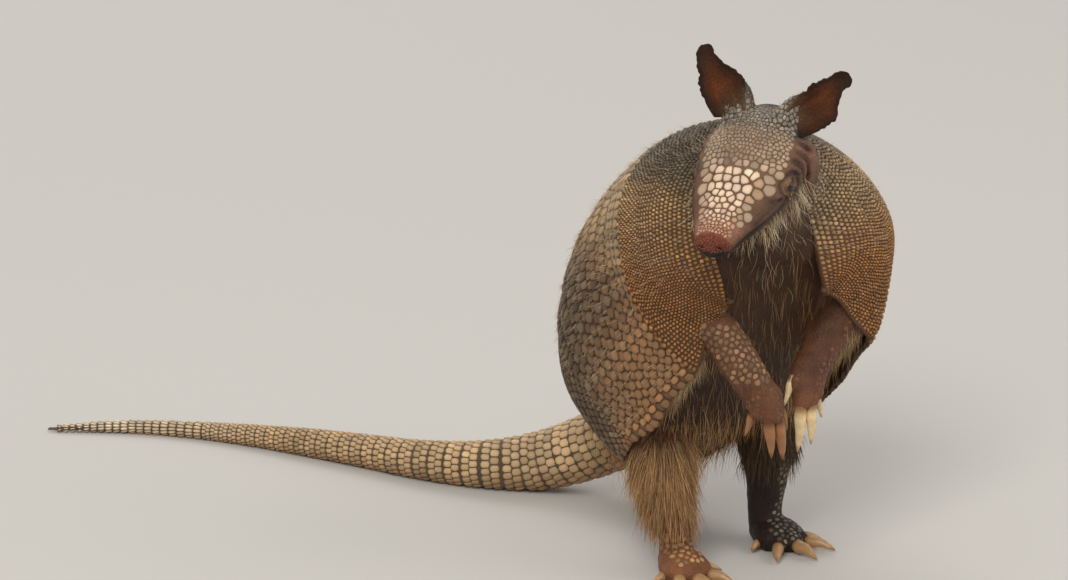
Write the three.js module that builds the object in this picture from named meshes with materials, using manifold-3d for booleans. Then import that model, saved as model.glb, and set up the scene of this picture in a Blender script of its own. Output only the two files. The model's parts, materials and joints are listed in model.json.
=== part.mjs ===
// A life-size nine-banded armadillo standing upright on its hind feet, with its tail laid on the floor.
// Units are millimetres and +Z is up. The trunk faces -Y, the animal's left is +X, and the head turns to
// its right. The flesh is one body made of lofts and parted by thin cuts at the joints. The carapace
// plates, the head shield, the eyes and the claws are pieces of their own.
import * as THREE from 'three';
import Module from 'manifold-3d';
import { mergeVertices } from 'three/addons/utils/BufferGeometryUtils.js';

const wasm = await Module();
wasm.setup();

// ---------------------------------------------------------------- driving dimensions
const GAP = 0.4; // clear space between neighbouring pieces
const PLATE = 4; // thickness of the carapace
const UNDER_PLATE = 1.5; // room between the carapace and the trunk
const BAND_COUNT = 9;
const BAND_RISE = 1.4; // how far a band's rear edge stands over the front edge of the next one
const EYE_RADIUS = 4.4;

// The carapace along the line of the trunk, rump to neck. p is the middle of the widest level, wide the
// half width there, back the height over it, side the semi-axis of the walls under it, edge the angles
// from the back at which the right and the left wall end, and belly the depth of the flesh under the middle.
// prettier-ignore
const TRUNK = [
  { p: [0, 98, 64],    wide: 46, back: 36, side: 70,  edge: [108, 108], belly: 36 },
  { p: [0, 86, 88],    wide: 68, back: 57, side: 130, edge: [115, 115], belly: 54 },
  { p: [0, 72, 118],   wide: 79, back: 71, side: 125, edge: [123, 120], belly: 72 },
  { p: [0, 50, 150],   wide: 84, back: 82, side: 122, edge: [130, 125], belly: 72 },
  { p: [2, 25, 175],   wide: 87, back: 85, side: 108, edge: [133, 128], belly: 58 },
  { p: [5, 6, 193],    wide: 89, back: 83, side: 94,  edge: [138, 137], belly: 46 },
  { p: [5, -6, 204],   wide: 91, back: 80, side: 66,  edge: [145, 151], belly: 36 },
  { p: [3, -15.5, 212.5],  wide: 86, back: 73, side: 54, edge: [151, 156], belly: 30 },
  { p: [-1, -22.5, 218],   wide: 69, back: 61, side: 50, edge: [151, 157], belly: 26 },
  { p: [-5, -28.5, 222],   wide: 33, back: 46, side: 76, edge: [134, 142], belly: 24 },
];
const PELVIC_REAR = 0.25; // places along the trunk, counted in the stations above
const PELVIC_CORNER = 1;
const PELVIC_FRONT = 2.1;
const SCAPULAR_REAR = 5.05; // at the side edges
const SCAPULAR_NOTCH = 1.5; // how much further forward the bands reach over the back
const SCAPULAR_FRONT = 8.95;

// The tail's middle line, from inside the rump to the tip, with its radius.
// prettier-ignore
const TAIL = [
  { p: [0, 92, 72],         r: 24 },
  { p: [-8, 122, 50],       r: 22 },
  { p: [-22, 149, 32],      r: 20.5 },
  { p: [-43, 174, 18.6],    r: 18.5 },
  { p: [-71, 196, 14.2],    r: 15.1 },
  { p: [-97, 227, 11.8],    r: 12.5 },
  { p: [-117, 261, 10.1],   r: 10.8 },
  { p: [-138, 295, 8.6],    r: 9.3 },
  { p: [-160, 328, 6.8],    r: 7.4 },
  { p: [-184, 358, 5.3],    r: 5.9 },
  { p: [-211, 384, 4.4],    r: 4.9 },
  { p: [-239, 403, 3.4],    r: 3.9 },
  { p: [-266, 418, 1.9],    r: 2.4 },
];
const TAIL_CUTS = [2.3, 4.1, 5.9, 7.7, 9.6]; // where the tail is parted, in the stations above
const TAIL_CUT_RADIUS = 30;

// The head, in its own frame: z runs from the nape to the nose, y is up and x is the animal's left.
const HEAD_AT = [0, -26, 275];
const NOSE_AT = [-68.5, -78.5, 228];
// prettier-ignore
const SKULL = [
  { p: [0, -2, -12], w: 20,   up: 15,   down: 18 },
  { p: [0, 0, 2],    w: 28,   up: 20,   down: 22 },
  { p: [0, 0, 18],   w: 32,   up: 22,   down: 23 },
  { p: [0, -1, 34],  w: 31,   up: 20.5, down: 20 },
  { p: [0, -2, 50],  w: 27.5, up: 17,   down: 16 },
  { p: [0, -2, 66],  w: 21.5, up: 13.5, down: 13 },
  { p: [0, -1, 82],  w: 14.5, up: 10,   down: 10.5 },
  { p: [0, 0, 91],   w: 11.2, up: 8.6,  down: 8.6 },
];
// prettier-ignore
const JAW = [
  { p: [0, -12, 10], w: 24,   up: 8, down: 11 },
  { p: [0, -12, 38], w: 18,   up: 7, down: 9.5 },
  { p: [0, -9, 62],  w: 11.5, up: 6, down: 7.5 },
  { p: [0, -7, 80],  w: 8,    up: 5, down: 6 },
];
// The forehead's shield: its ends in the skull's stations, its half turn in degrees and its height over
// the skin.
const HEAD_PLATE = { rear: 1.55, front: 5.6, turn: 62, lift: 2.6, thick: 1.6 };
const NOSE_CUT = 87;
const EYE_PLACE = [27.6, 1.5, 37.5];
const EAR = {
  base: [16.5, 13, 4], length: 50, width: 12.4, thick: 1.6, lean: 7.5, bow: 2, cut: 9,
  front: [-0.5, -0.8, 0.2],
};
const EAR_TOWARD = { left: [43, -7, 21], right: [2.6, 24, 42.4] };

// The arms, as joints with a radius. The hand's claws run from a toe's root to its tip.
// prettier-ignore
const ARMS = {
  left: {
    line: [
      { p: [44, 0, 196],   r: 17 },
      { p: [55, -20, 176], r: 14 },
      { p: [50, -30, 160], r: 12.5 },
      { p: [36, -33, 142], r: 11.5 },
      { p: [23, -41, 129], w: 11.5, up: 8.5, down: 8.5 },
      { p: [18, -45, 120], w: 12.5, up: 7.5, down: 7.5 },
    ],
    claws: [
      { root: [10, -43, 128], tip: [3, -46, 113],  r: 2.4 },
      { root: [13, -49, 112], tip: [11, -49, 84],  r: 3.9 },
      { root: [20, -49, 112], tip: [19, -51, 88],  r: 3.7 },
      { root: [27, -43, 116], tip: [29, -46, 102], r: 2.4 },
    ],
  },
  right: {
    line: [
      { p: [-44, 4, 194],   r: 17 },
      { p: [-52, -19, 177], r: 14 },
      { p: [-39, -38, 164], r: 12.8 },
      { p: [-32, -54, 147], r: 12 },
      { p: [-23, -59, 131], w: 11.5, up: 8.5, down: 8.5 },
      { p: [-17, -61, 121], w: 12.5, up: 7.5, down: 7.5 },
    ],
    claws: [
      { root: [-6, -58, 117],  tip: [-2, -58, 102],  r: 2.4 },
      { root: [-11, -63, 112], tip: [-8, -64, 87],   r: 3.9 },
      { root: [-18, -64, 112], tip: [-17, -66, 90],  r: 3.7 },
      { root: [-26, -58, 117], tip: [-30, -57, 103], r: 2.4 },
    ],
  },
};

const ARM_CUTS = [2.1, 4.1]; // where an arm is parted, in its own stations
const ARM_CUT_RADIUS = 20;

// The legs, the middle of each foot, and its claws from a toe's root to its tip.
// prettier-ignore
const LEGS = {
  left: {
    line: [
      { p: [34, 50, 96],  r: 27 },
      { p: [37, 34, 66],  r: 20 },
      { p: [35, 28, 44],  r: 14.5 },
      { p: [33, 27, 24],  r: 11 },
      { p: [33, 26, 11],  r: 10.6 },
    ],
    foot: [35, 12, 7],
    claws: [
      { root: [23, 14, 5.4],  tip: [13, 8, 2.4],    r: 2.8 },
      { root: [27, 0, 5.4],   tip: [17, -16, 2.4],  r: 3.7 },
      { root: [38, -2, 5.4],  tip: [40, -24, 2.4],  r: 4.3 },
      { root: [47, 2, 5.4],   tip: [58, -15, 2.4],  r: 4 },
      { root: [49, 14, 4.6],  tip: [61, 7, 2.4],    r: 2.8 },
    ],
  },
  right: {
    line: [
      { p: [-34, 46, 96],   r: 27 },
      { p: [-43, 22, 74],   r: 22 },
      { p: [-46, 9, 50],    r: 16.5 },
      { p: [-42, 5, 24],    r: 11 },
      { p: [-42, 4, 11],    r: 10.6 },
    ],
    foot: [-44, -10, 7],
    claws: [
      { root: [-31, -7, 5.4],   tip: [-20, -13, 2.4],  r: 2.8 },
      { root: [-34, -21, 5.4],  tip: [-25, -38, 2.4],  r: 3.7 },
      { root: [-44, -24, 5.4],  tip: [-43, -46, 2.4],  r: 4.3 },
      { root: [-53, -20, 5.4],  tip: [-62, -38, 2.4],  r: 4 },
      { root: [-57, -9, 4.6],   tip: [-69, -16, 2.4],  r: 2.8 },
    ],
  },
};

// Where a leg is parted, in its own stations, with the cut's radius.
const LEG_CUTS = [{ place: 1.25, radius: 34 }, { place: 2.9, radius: 22 }];

// ---------------------------------------------------------------- shape tools
const vector = (p) => new THREE.Vector3(...p);
const curveOf = (points) => new THREE.CatmullRomCurve3(points.map(vector), false, 'catmullrom', 0.5);
const { degToRad: radians, smoothstep } = THREE.MathUtils;

/** A closed solid's geometry from rows of points that run round it, first to last. */
function skinned(rings, startPole, endPole) {
  const sides = rings[0].length;
  const points = [startPole, ...rings.flat(), endPole];
  const at = (ring, side) => 1 + ring * sides + (side % sides);
  const faces = [];
  for (let j = 0; j < sides; j++) {
    faces.push([at(0, j), at(0, j + 1), 0]);
    faces.push([at(rings.length - 1, j + 1), at(rings.length - 1, j), points.length - 1]);
    for (let i = 0; i < rings.length - 1; i++) {
      faces.push([at(i, j), at(i + 1, j), at(i + 1, j + 1)]);
      faces.push([at(i, j), at(i + 1, j + 1), at(i, j + 1)]);
    }
  }
  return meshOf(points, faces);
}

function meshOf(points, faces) {
  const geometry = new THREE.BufferGeometry();
  const values = points.flatMap((p) => p.toArray());
  geometry.setAttribute('position', new THREE.Float32BufferAttribute(values, 3));
  geometry.setIndex(faces.flat());
  return geometry;
}

/** A loft's middle line and half sizes. Each station holds p and either r or w, up and down. An
    upright line keeps its sections square to the mid plane, however it sways. */
function lineOf(stations, top, upright = false) {
  const middle = curveOf(stations.map((s) => s.p));
  const level = new THREE.Vector3(upright ? 0 : 1, 1, 1);
  const tangent = (t) => middle.getTangent(t).multiply(level).normalize();
  const sizes = curveOf(stations.map((s) => [s.w ?? s.r, s.up ?? s.r, s.down ?? s.r]));
  return (t) => {
    const along = tangent(t);
    const back = vector(top).addScaledVector(along, -vector(top).dot(along)).normalize();
    const left = back.clone().cross(along);
    return { at: middle.getPoint(t), along, back, left, size: sizes.getPoint(t) };
  };
}

/** A smooth body round a line, with rounded ends as long as cap times their own radius. The lower half
    of its sections is an ellipse at a fullness of 1, and squarer below that. */
function loft(stations, shape) {
  const { rings, sides, top = [0, 0, 1], upright, cap = [0.7, 0.7], capRings = 2, fullness = 1 } = shape;
  const line = lineOf(stations, top, upright);
  const ring = (f, scale, shift) =>
    Array.from({ length: sides }, (_, j) => {
      const a = (2 * Math.PI * j) / sides;
      const power = Math.cos(a) > 0 ? 1 : fullness;
      const [rise, aside] = [Math.cos(a), Math.sin(a)].map((v) => Math.sign(v) * Math.abs(v) ** power);
      return f.at.clone()
        .addScaledVector(f.along, shift)
        .addScaledVector(f.back, rise * scale * (rise > 0 ? f.size.y : f.size.z))
        .addScaledVector(f.left, aside * scale * f.size.x);
    });
  const [first, last] = [line(0), line(1)];
  const reach = [first, last].map((f, i) => cap[i] * Math.min(f.size.x, f.size.y));
  const rows = [];
  for (let k = capRings; k > 0; k--) {
    const a = (k / (capRings + 1)) * (Math.PI / 2);
    rows.push(ring(first, Math.cos(a), -reach[0] * Math.sin(a)));
  }
  for (let i = 0; i <= rings; i++) rows.push(ring(line(i / rings), 1, 0));
  for (let k = 1; k <= capRings; k++) {
    const a = (k / (capRings + 1)) * (Math.PI / 2);
    rows.push(ring(last, Math.cos(a), reach[1] * Math.sin(a)));
  }
  return skinned(rows, first.at.clone().addScaledVector(first.along, -reach[0]),
    last.at.clone().addScaledVector(last.along, reach[1]));
}

/** A closed slab between two faces of a grid: face(i, j, side) with side 0 inside and 1 outside. */
function slab(columns, rows, face) {
  const points = [];
  for (const side of [0, 1])
    for (let i = 0; i <= columns; i++)
      for (let j = 0; j <= rows; j++) points.push(face(i, j, side));
  const at = (i, j, side) => (side * (columns + 1) + i) * (rows + 1) + j;
  const faces = [];
  const quad = (a, b, c, d) => faces.push([a, b, c], [a, c, d]);
  for (let i = 0; i < columns; i++)
    for (let j = 0; j < rows; j++) {
      quad(at(i, j, 1), at(i + 1, j, 1), at(i + 1, j + 1, 1), at(i, j + 1, 1));
      quad(at(i, j, 0), at(i, j + 1, 0), at(i + 1, j + 1, 0), at(i + 1, j, 0));
    }
  for (let i = 0; i < columns; i++) {
    quad(at(i, 0, 1), at(i, 0, 0), at(i + 1, 0, 0), at(i + 1, 0, 1));
    quad(at(i, rows, 1), at(i + 1, rows, 1), at(i + 1, rows, 0), at(i, rows, 0));
  }
  for (let j = 0; j < rows; j++) {
    quad(at(0, j, 1), at(0, j + 1, 1), at(0, j + 1, 0), at(0, j, 0));
    quad(at(columns, j, 1), at(columns, j, 0), at(columns, j + 1, 0), at(columns, j + 1, 1));
  }
  return meshOf(points, faces);
}

/** The solid of a closed geometry. */
function solid(geometry) {
  const bare = geometry.clone();
  bare.deleteAttribute('normal');
  bare.deleteAttribute('uv');
  const merged = mergeVertices(bare, 1e-3);
  const triVerts = new Uint32Array(merged.index.array);
  const made = () =>
    new wasm.Manifold(new wasm.Mesh({
      numProp: 3,
      vertProperties: merged.attributes.position.array,
      triVerts,
    }));
  if (made().volume() > 0) return made();
  triVerts.reverse(); // a grid wound the other way faces inwards
  return made();
}

function geometryOf(body) {
  const mesh = body.getMesh();
  const geometry = new THREE.BufferGeometry();
  geometry.setAttribute('position', new THREE.BufferAttribute(mesh.vertProperties, 3));
  geometry.setIndex(new THREE.BufferAttribute(mesh.triVerts, 1));
  return geometry;
}

const joined = (solids) => solids.reduce((a, b) => a.add(b));

/** A disc one gap thick that parts a limb across its line. */
function cutter(at, along, radius) {
  const disc = new THREE.CylinderGeometry(radius, radius, GAP, 24);
  const axis = new THREE.Vector3(0, 1, 0);
  const turn = new THREE.Quaternion().setFromUnitVectors(axis, vector(along).normalize());
  return solid(disc.applyQuaternion(turn).translate(...at));
}

const between = (a, b, share) => a.map((value, i) => value + (b[i] - value) * share);
const toward = (a, b) => b.map((value, i) => value - a[i]);

// ---------------------------------------------------------------- carapace
const LAST = TRUNK.length - 1;
const TRUNK_TOP = [0, 1, 0.45];
const shellSections = TRUNK.map((s) => ({ p: s.p, w: s.wide, up: s.back, down: s.side }));
const trunkLine = lineOf(shellSections, TRUNK_TOP, true);
const edgeAngles = curveOf(TRUNK.map((s) => [...s.edge, 0]));

/** A place on a line's surface: share of its length, turn from the back in degrees and lift over it. */
function surfacePoint(line, share, turn, lift) {
  const f = line(share);
  const a = radians(turn);
  const height = Math.cos(a) * ((Math.cos(a) > 0 ? f.size.y : f.size.z) + lift);
  const aside = Math.sin(a) * (f.size.x + lift);
  return f.at.clone().addScaledVector(f.back, height).addScaledVector(f.left, aside);
}

/** A plate of the carapace between two places, each given by the share of the way to its side edge. */
function plate(rear, front, { columns, rows, rise = 0, grow = 0 }) {
  return slab(rows, columns, (i, j, side) => {
    const share = (2 * j) / columns - 1;
    const ends = [rear(Math.abs(share)) - grow / 25, front(Math.abs(share)) + grow / 12];
    const place = ends[0] + (ends[1] - ends[0]) * (i / rows);
    const lift = (side ? grow : -PLATE - grow) + rise * (1 - i / rows);
    const edge = edgeAngles.getPoint(Math.min(place, LAST) / LAST);
    const end = (share < 0 ? edge.x : edge.y) + grow;
    return surfacePoint(trunkLine, Math.min(place, LAST) / LAST, share * end, lift);
  });
}

const halfGap = 0.012; // half the space between two bands, in stations
const pelvicRear = (share) => PELVIC_REAR + (PELVIC_CORNER - PELVIC_REAR) * share ** 3;
const scapularRear = (share) => SCAPULAR_REAR + SCAPULAR_NOTCH * (1 - smoothstep(share, 0.5, 0.95));
const scapularFront = (share) => SCAPULAR_FRONT - 0.9 * share ** 12;

/** The line between two bands, counted from the shoulder shield back to the hip shield. */
const seam = (index, gap) => (share) =>
  scapularRear(share) + (PELVIC_FRONT - scapularRear(share)) * (index / BAND_COUNT) + gap;

const plates = {
  scapular_shield: (grow) =>
    plate(seam(0, halfGap), scapularFront, { columns: 16, rows: 7, rise: BAND_RISE, grow }),
  pelvic_shield: (grow) => plate(pelvicRear, seam(BAND_COUNT, -halfGap), { columns: 16, rows: 4, grow }),
};
for (let band = 1; band <= BAND_COUNT; band++)
  plates[`band_${band}`] = (grow) =>
    plate(seam(band, halfGap), seam(band - 1, -halfGap), { columns: 16, rows: 1, rise: BAND_RISE, grow });

// ---------------------------------------------------------------- flesh
const grown = (stations, grow) =>
  stations.map((s) => ({
    p: s.p, w: (s.w ?? s.r) + grow, up: (s.up ?? s.r) + grow, down: (s.down ?? s.r) + grow,
  }));

function trunk(grow = 0) {
  const under = PLATE + UNDER_PLATE - grow;
  const stations = TRUNK.map((s) => ({
    p: s.p, w: s.wide - under, up: s.back - under, down: s.belly + grow,
  }));
  const shape = { rings: 12, sides: 16, top: TRUNK_TOP, upright: true, cap: [0.8, 0.4], fullness: 0.62 };
  return solid(loft(stations, shape));
}

const headForward = vector(toward(HEAD_AT, NOSE_AT)).normalize();
const headUp = new THREE.Vector3(0, 0, 1).addScaledVector(headForward, -headForward.z).normalize();
const headFrame = new THREE.Matrix4()
  .makeBasis(headUp.clone().cross(headForward), headUp, headForward)
  .setPosition(...HEAD_AT);
const onHead = (p) => vector(p).applyMatrix4(headFrame).toArray();

function neck(grow = 0) {
  const line = [
    { p: TRUNK[8].p, w: 31, up: 31, down: 26 },
    { p: TRUNK[9].p, w: 26, up: 30, down: 24 },
    { p: [-3, -32, 246], w: 25, up: 17, down: 22 },
    { p: onHead([0, -3, 5]), w: 22, up: 13, down: 18 },
  ];
  return solid(loft(grown(line, grow), { rings: 3, sides: 10, top: TRUNK_TOP, capRings: 1 }));
}

function head(grow = 0) {
  const skull = loft(grown(SKULL, grow), { rings: 9, sides: 14, top: [0, 1, 0], cap: [0.6, 0.35] });
  const jaw = loft(grown(JAW, grow), { rings: 4, sides: 8, top: [0, 1, 0], capRings: 1 });
  return joined([skull, jaw].map((g) => solid(g.applyMatrix4(headFrame))));
}

const mirrored = (p, side) => (side === 'left' ? p : [-p[0], p[1], p[2]]);

/** An ear: a cupped leaf on a short stalk, its hollow turned to the front. */
function ear(side) {
  const base = vector(onHead(mirrored(EAR.base, side)));
  const along = vector(EAR_TOWARD[side]).normalize();
  const front = vector(EAR.front).addScaledVector(along, -vector(EAR.front).dot(along)).normalize();
  const across = along.clone().cross(front);
  const leaf = slab(8, 4, (i, j, face) => {
    const t = 0.1 + 0.9 * (i / 8);
    const taper = smoothstep(t, 0.48, 0.9);
    const tip = Math.sqrt(1 - 0.9 * Math.max(0, (t - 0.9) / 0.1) ** 2);
    const swell = 0.6 + 0.4 * Math.sin(Math.PI * Math.min(t, 0.5));
    const half = EAR.width * swell * (1 - 0.6 * taper) * tip;
    const bend = (j / 2 - 1) * (1.25 - 0.75 * t);
    const radius = half / Math.sin(1.25 - 0.75 * t);
    return base.clone()
      .addScaledVector(along, EAR.length * t)
      .addScaledVector(across, radius * Math.sin(bend) - EAR.lean * taper - EAR.bow * Math.sin(Math.PI * t))
      .addScaledVector(front, radius * (1 - Math.cos(bend)) + (face ? EAR.thick : 0));
  });
  const stalk = loft([
    { p: base.clone().addScaledVector(along, -6).toArray(), r: 8.5 },
    { p: base.clone().addScaledVector(along, 5).toArray(), w: 7.5, up: 6, down: 6 },
    { p: base.clone().addScaledVector(along, 12).add(front).toArray(), w: 5.5, up: 3, down: 3 },
  ], { rings: 2, sides: 10, top: front.toArray(), capRings: 1 });
  return joined([solid(leaf), solid(stalk)]);
}

const skullLine = lineOf(SKULL, [0, 1, 0]);

/** The horny shield that covers the forehead and the bridge of the snout. */
function headShield() {
  const { rear, front, turn, lift, thick } = HEAD_PLATE;
  return solid(slab(6, 8, (i, j, face) => {
    const share = j / 4 - 1;
    const place = rear + 0.4 * share ** 2 + (front - rear - 0.8 * share ** 2) * (i / 6);
    return surfacePoint(skullLine, place / (SKULL.length - 1), share * turn, face ? lift : lift - thick);
  }).applyMatrix4(headFrame));
}

/** A claw: a curved cone whose flat root stands one gap off the end of its toe. */
function claw({ root, tip, r }, grow = 0) {
  const along = vector(toward(root, tip)).normalize();
  const start = vector(root).addScaledVector(along, GAP - 2 * grow).toArray();
  const middle = between(root, tip, 0.5);
  return solid(loft(grown([
    { p: start, r: r * 0.95 }, { p: between(root, tip, 0.25), r },
    { p: [middle[0], middle[1], middle[2] + 0.35 * r], r: r * 0.72 }, { p: tip, r: 0.7 },
  ], grow), { rings: 3, sides: 6, top: [0.1, 0.05, 1], cap: [0, 0.9], capRings: 0 }));
}

const withoutClaws = (body, claws) => claws.reduce((rest, c) => rest.subtract(claw(c, GAP)), body);

/** A toe from the middle of the foot or the hand to the root of its claw, where it ends flat. */
function toe(from, { root, r }) {
  return solid(loft([
    { p: between(from, root, 0.15), r: r + 3.6 }, { p: between(from, root, 0.7), r: r + 2.4 },
    { p: root, r: r + 1.2 },
  ], { rings: 1, sides: 6, top: [0.1, 0.05, 1], cap: [0, 0], capRings: 0 }));
}

function arm(side) {
  const { line, claws } = ARMS[side];
  const bones = loft(line, { rings: 7, sides: 9, top: [0, -1, 0.3], cap: [0.5, 0.6], capRings: 1 });
  return joined([solid(bones), ...claws.map((c) => toe(line[5].p, c))]);
}

function leg(side) {
  const { line, foot, claws } = LEGS[side];
  const bones = solid(loft(line, { rings: 6, sides: 10, top: [0, -1, 0], cap: [0.7, 0.9], capRings: 1 }));
  const heel = line[4].p;
  const sole = solid(loft([
    { p: [heel[0], heel[1] + 2, 8.5], w: 10.5, up: 9, down: 11 },
    { p: between(heel, foot, 0.7), w: 15, up: 9.5, down: 12.5 },
    { p: [foot[0], foot[1] - 4, 6.5], w: 16, up: 8, down: 9.5 },
  ], { rings: 2, sides: 10, cap: [0.8, 0.6], capRings: 1 }));
  return joined([bones, sole, ...claws.map((c) => toe(foot, c))]);
}

function tail(grow = 0) {
  return solid(loft(grown(TAIL, grow), { rings: 18, sides: 10, cap: [0.5, 1.5], capRings: 1 }));
}

// ---------------------------------------------------------------- the animal in its pieces
const armadillo = new THREE.Group();
const floor = solid(new THREE.BoxGeometry(900, 900, 40).translate(0, 200, -20));
const shell = joined(Object.values(plates).map((make) => solid(make(3 * GAP))));

function add(name, body, colour = 0x8a7355) {
  const largest = body.decompose().sort((a, b) => b.volume() - a.volume())[0];
  const material = new THREE.MeshStandardMaterial({ color: colour, roughness: 0.8 });
  const mesh = new THREE.Mesh(geometryOf(largest), material);
  mesh.name = name;
  armadillo.add(mesh);
}

/** Parts a limb at its joints, and names the lengths by how far they are from where it starts. */
function addLengths(names, body, cuts, start, colour) {
  const middle = (piece) => {
    const { min, max } = piece.boundingBox();
    return vector(min).add(vector(max)).divideScalar(2).distanceTo(vector(start));
  };
  cuts.reduce((rest, cut) => rest.subtract(cut), body).decompose()
    .sort((a, b) => b.volume() - a.volume()).slice(0, names.length)
    .sort((a, b) => middle(a) - middle(b))
    .forEach((piece, i) => add(names[i], piece, colour));
}

/** A cut square across a line of stations at a place counted in stations. */
function cutAcross(stations, place, radius) {
  const line = curveOf(stations.map((s) => s.p));
  const share = place / (stations.length - 1);
  return cutter(line.getPoint(share).toArray(), line.getTangent(share).toArray(), radius);
}

for (const [name, make] of Object.entries(plates)) add(name, solid(make(0)), 0xb49a6e);

add('trunk', trunk(), 0x4f3a2c);
add('neck', neck().subtract(trunk(GAP)).subtract(head(GAP)).subtract(shell), 0x5a4434);

const eyeBalls = {};
for (const side of ['left', 'right']) {
  const place = onHead(mirrored(EYE_PLACE, side));
  eyeBalls[side] = (r) => solid(new THREE.SphereGeometry(r, 12, 7).translate(...place));
  add(`eye_${side}`, eyeBalls[side](EYE_RADIUS), 0x16100d);
}
const lids = ['left', 'right'].map((side) => {
  const place = onHead(mirrored([EYE_PLACE[0] - 2.4, EYE_PLACE[1], EYE_PLACE[2]], side));
  return solid(new THREE.SphereGeometry(EYE_RADIUS + 2.6, 8, 6).translate(...place));
});
const whole = joined([head(), ...lids, ear('left'), ear('right')]).subtract(trunk(GAP)).subtract(shell)
  .subtract(eyeBalls.left(EYE_RADIUS + GAP)).subtract(eyeBalls.right(EYE_RADIUS + GAP));
add('head_shield', headShield(), 0xd8c3a4);

const earCuts = ['left', 'right'].map((side) => {
  const base = vector(onHead(mirrored(EAR.base, side)));
  const along = vector(EAR_TOWARD[side]).normalize();
  return cutter(base.addScaledVector(along, EAR.cut).toArray(), along.toArray(), 18);
});
const noseCut = cutter(onHead([0, 0, NOSE_CUT]), headForward.toArray(), 22);
const headPieces = [...earCuts, noseCut].reduce((rest, cut) => rest.subtract(cut), whole).decompose()
  .sort((a, b) => b.volume() - a.volume());
const centre = (piece) => {
  const { min, max } = piece.boundingBox();
  return vector(min).add(vector(max)).divideScalar(2);
};
const nearest = (target, pieces) => {
  const far = (piece) => centre(piece).distanceTo(vector(target));
  return pieces.reduce((a, b) => (far(a) < far(b) ? a : b));
};
add('head', headPieces[0], 0x8b6f5a);
const small = headPieces.slice(1, 4);
add('nose', nearest(onHead([0, 0, 95]), small), 0xb5605a);
for (const side of ['left', 'right']) {
  const along = vector(EAR_TOWARD[side]).normalize();
  const middle = vector(onHead(mirrored(EAR.base, side))).addScaledVector(along, EAR.length / 2);
  add(`ear_${side}`, nearest(middle.toArray(), small), 0x5b3a2c);
}

for (const side of ['left', 'right']) {
  const { line, claws } = ARMS[side];
  claws.forEach((c, i) => add(`claw_hand_${side}_${i + 1}`, claw(c), 0xc9a877));
  const limb = withoutClaws(arm(side), claws).subtract(trunk(GAP)).subtract(shell);
  const cuts = ARM_CUTS.map((place) => cutAcross(line, place, ARM_CUT_RADIUS));
  addLengths([`upper_arm_${side}`, `forearm_${side}`, `hand_${side}`], limb, cuts, line[0].p, 0x4a3027);
}

for (const side of ['left', 'right']) {
  const { line, claws } = LEGS[side];
  claws.forEach((c, i) => add(`claw_foot_${side}_${i + 1}`, claw(c), 0xc9a877));
  const limb = withoutClaws(leg(side), claws).subtract(trunk(GAP)).subtract(shell).subtract(floor);
  const cuts = LEG_CUTS.map(({ place, radius }) => cutAcross(line, place, radius));
  addLengths([`thigh_${side}`, `shin_${side}`, `foot_${side}`], limb, cuts, line[0].p, 0x5a4630);
}

const tailCuts = TAIL_CUTS.map((place) => cutAcross(TAIL, place, TAIL_CUT_RADIUS));
const tailNames = Array.from({ length: TAIL_CUTS.length + 1 }, (_, i) => `tail_${i + 1}`);
const wholeTail = tail().subtract(trunk(GAP)).subtract(shell).subtract(floor);
addLengths(tailNames, wholeTail, tailCuts, TAIL[0].p, 0xb9a078);

// The group stands with the middle of its box's underside at the origin.
const box = new THREE.Box3().setFromObject(armadillo);
const middle = box.getCenter(new THREE.Vector3());
armadillo.position.set(-middle.x, -middle.y, -box.min.z);

export default armadillo;
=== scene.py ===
"""A nine-banded armadillo that stands upright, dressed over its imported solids: one skin, the scutes of its
carapace, head, tail and limbs, its ears, eyes and claws, and its sparse hair.

The tables hold millimetres in the animal's own frame: it faces -Y, its left is +X and +Z is up. The meshes
are in metres, in the row frame."""

import json
import math

import bpy
import numpy as np
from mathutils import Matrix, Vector
from mathutils.bvhtree import BVHTree
from mathutils.kdtree import KDTree

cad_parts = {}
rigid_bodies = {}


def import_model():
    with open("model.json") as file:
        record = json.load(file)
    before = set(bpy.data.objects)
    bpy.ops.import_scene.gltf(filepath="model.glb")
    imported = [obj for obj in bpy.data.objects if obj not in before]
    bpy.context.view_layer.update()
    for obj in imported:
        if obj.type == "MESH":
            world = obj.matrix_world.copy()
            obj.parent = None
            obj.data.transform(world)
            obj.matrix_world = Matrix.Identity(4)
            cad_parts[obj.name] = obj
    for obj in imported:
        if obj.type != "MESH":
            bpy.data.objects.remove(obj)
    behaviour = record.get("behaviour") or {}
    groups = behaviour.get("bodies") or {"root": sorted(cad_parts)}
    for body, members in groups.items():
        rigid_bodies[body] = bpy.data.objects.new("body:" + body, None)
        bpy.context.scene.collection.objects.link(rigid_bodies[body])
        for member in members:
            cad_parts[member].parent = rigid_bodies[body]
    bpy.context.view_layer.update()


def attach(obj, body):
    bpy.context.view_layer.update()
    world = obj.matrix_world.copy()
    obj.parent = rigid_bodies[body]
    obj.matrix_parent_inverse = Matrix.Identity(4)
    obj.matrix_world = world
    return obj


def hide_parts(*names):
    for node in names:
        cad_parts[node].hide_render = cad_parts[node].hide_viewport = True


bl_info = {
    "name": "Standing Armadillo",
    "version": (1, 0, 0),
    "blender": (4, 5, 0),
    "location": "View3D > Sidebar > Armadillo",
    "description": "Builds a life-size nine-banded armadillo with its scutes, skin, claws and hair",
    "category": "Add Mesh",
}

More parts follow.
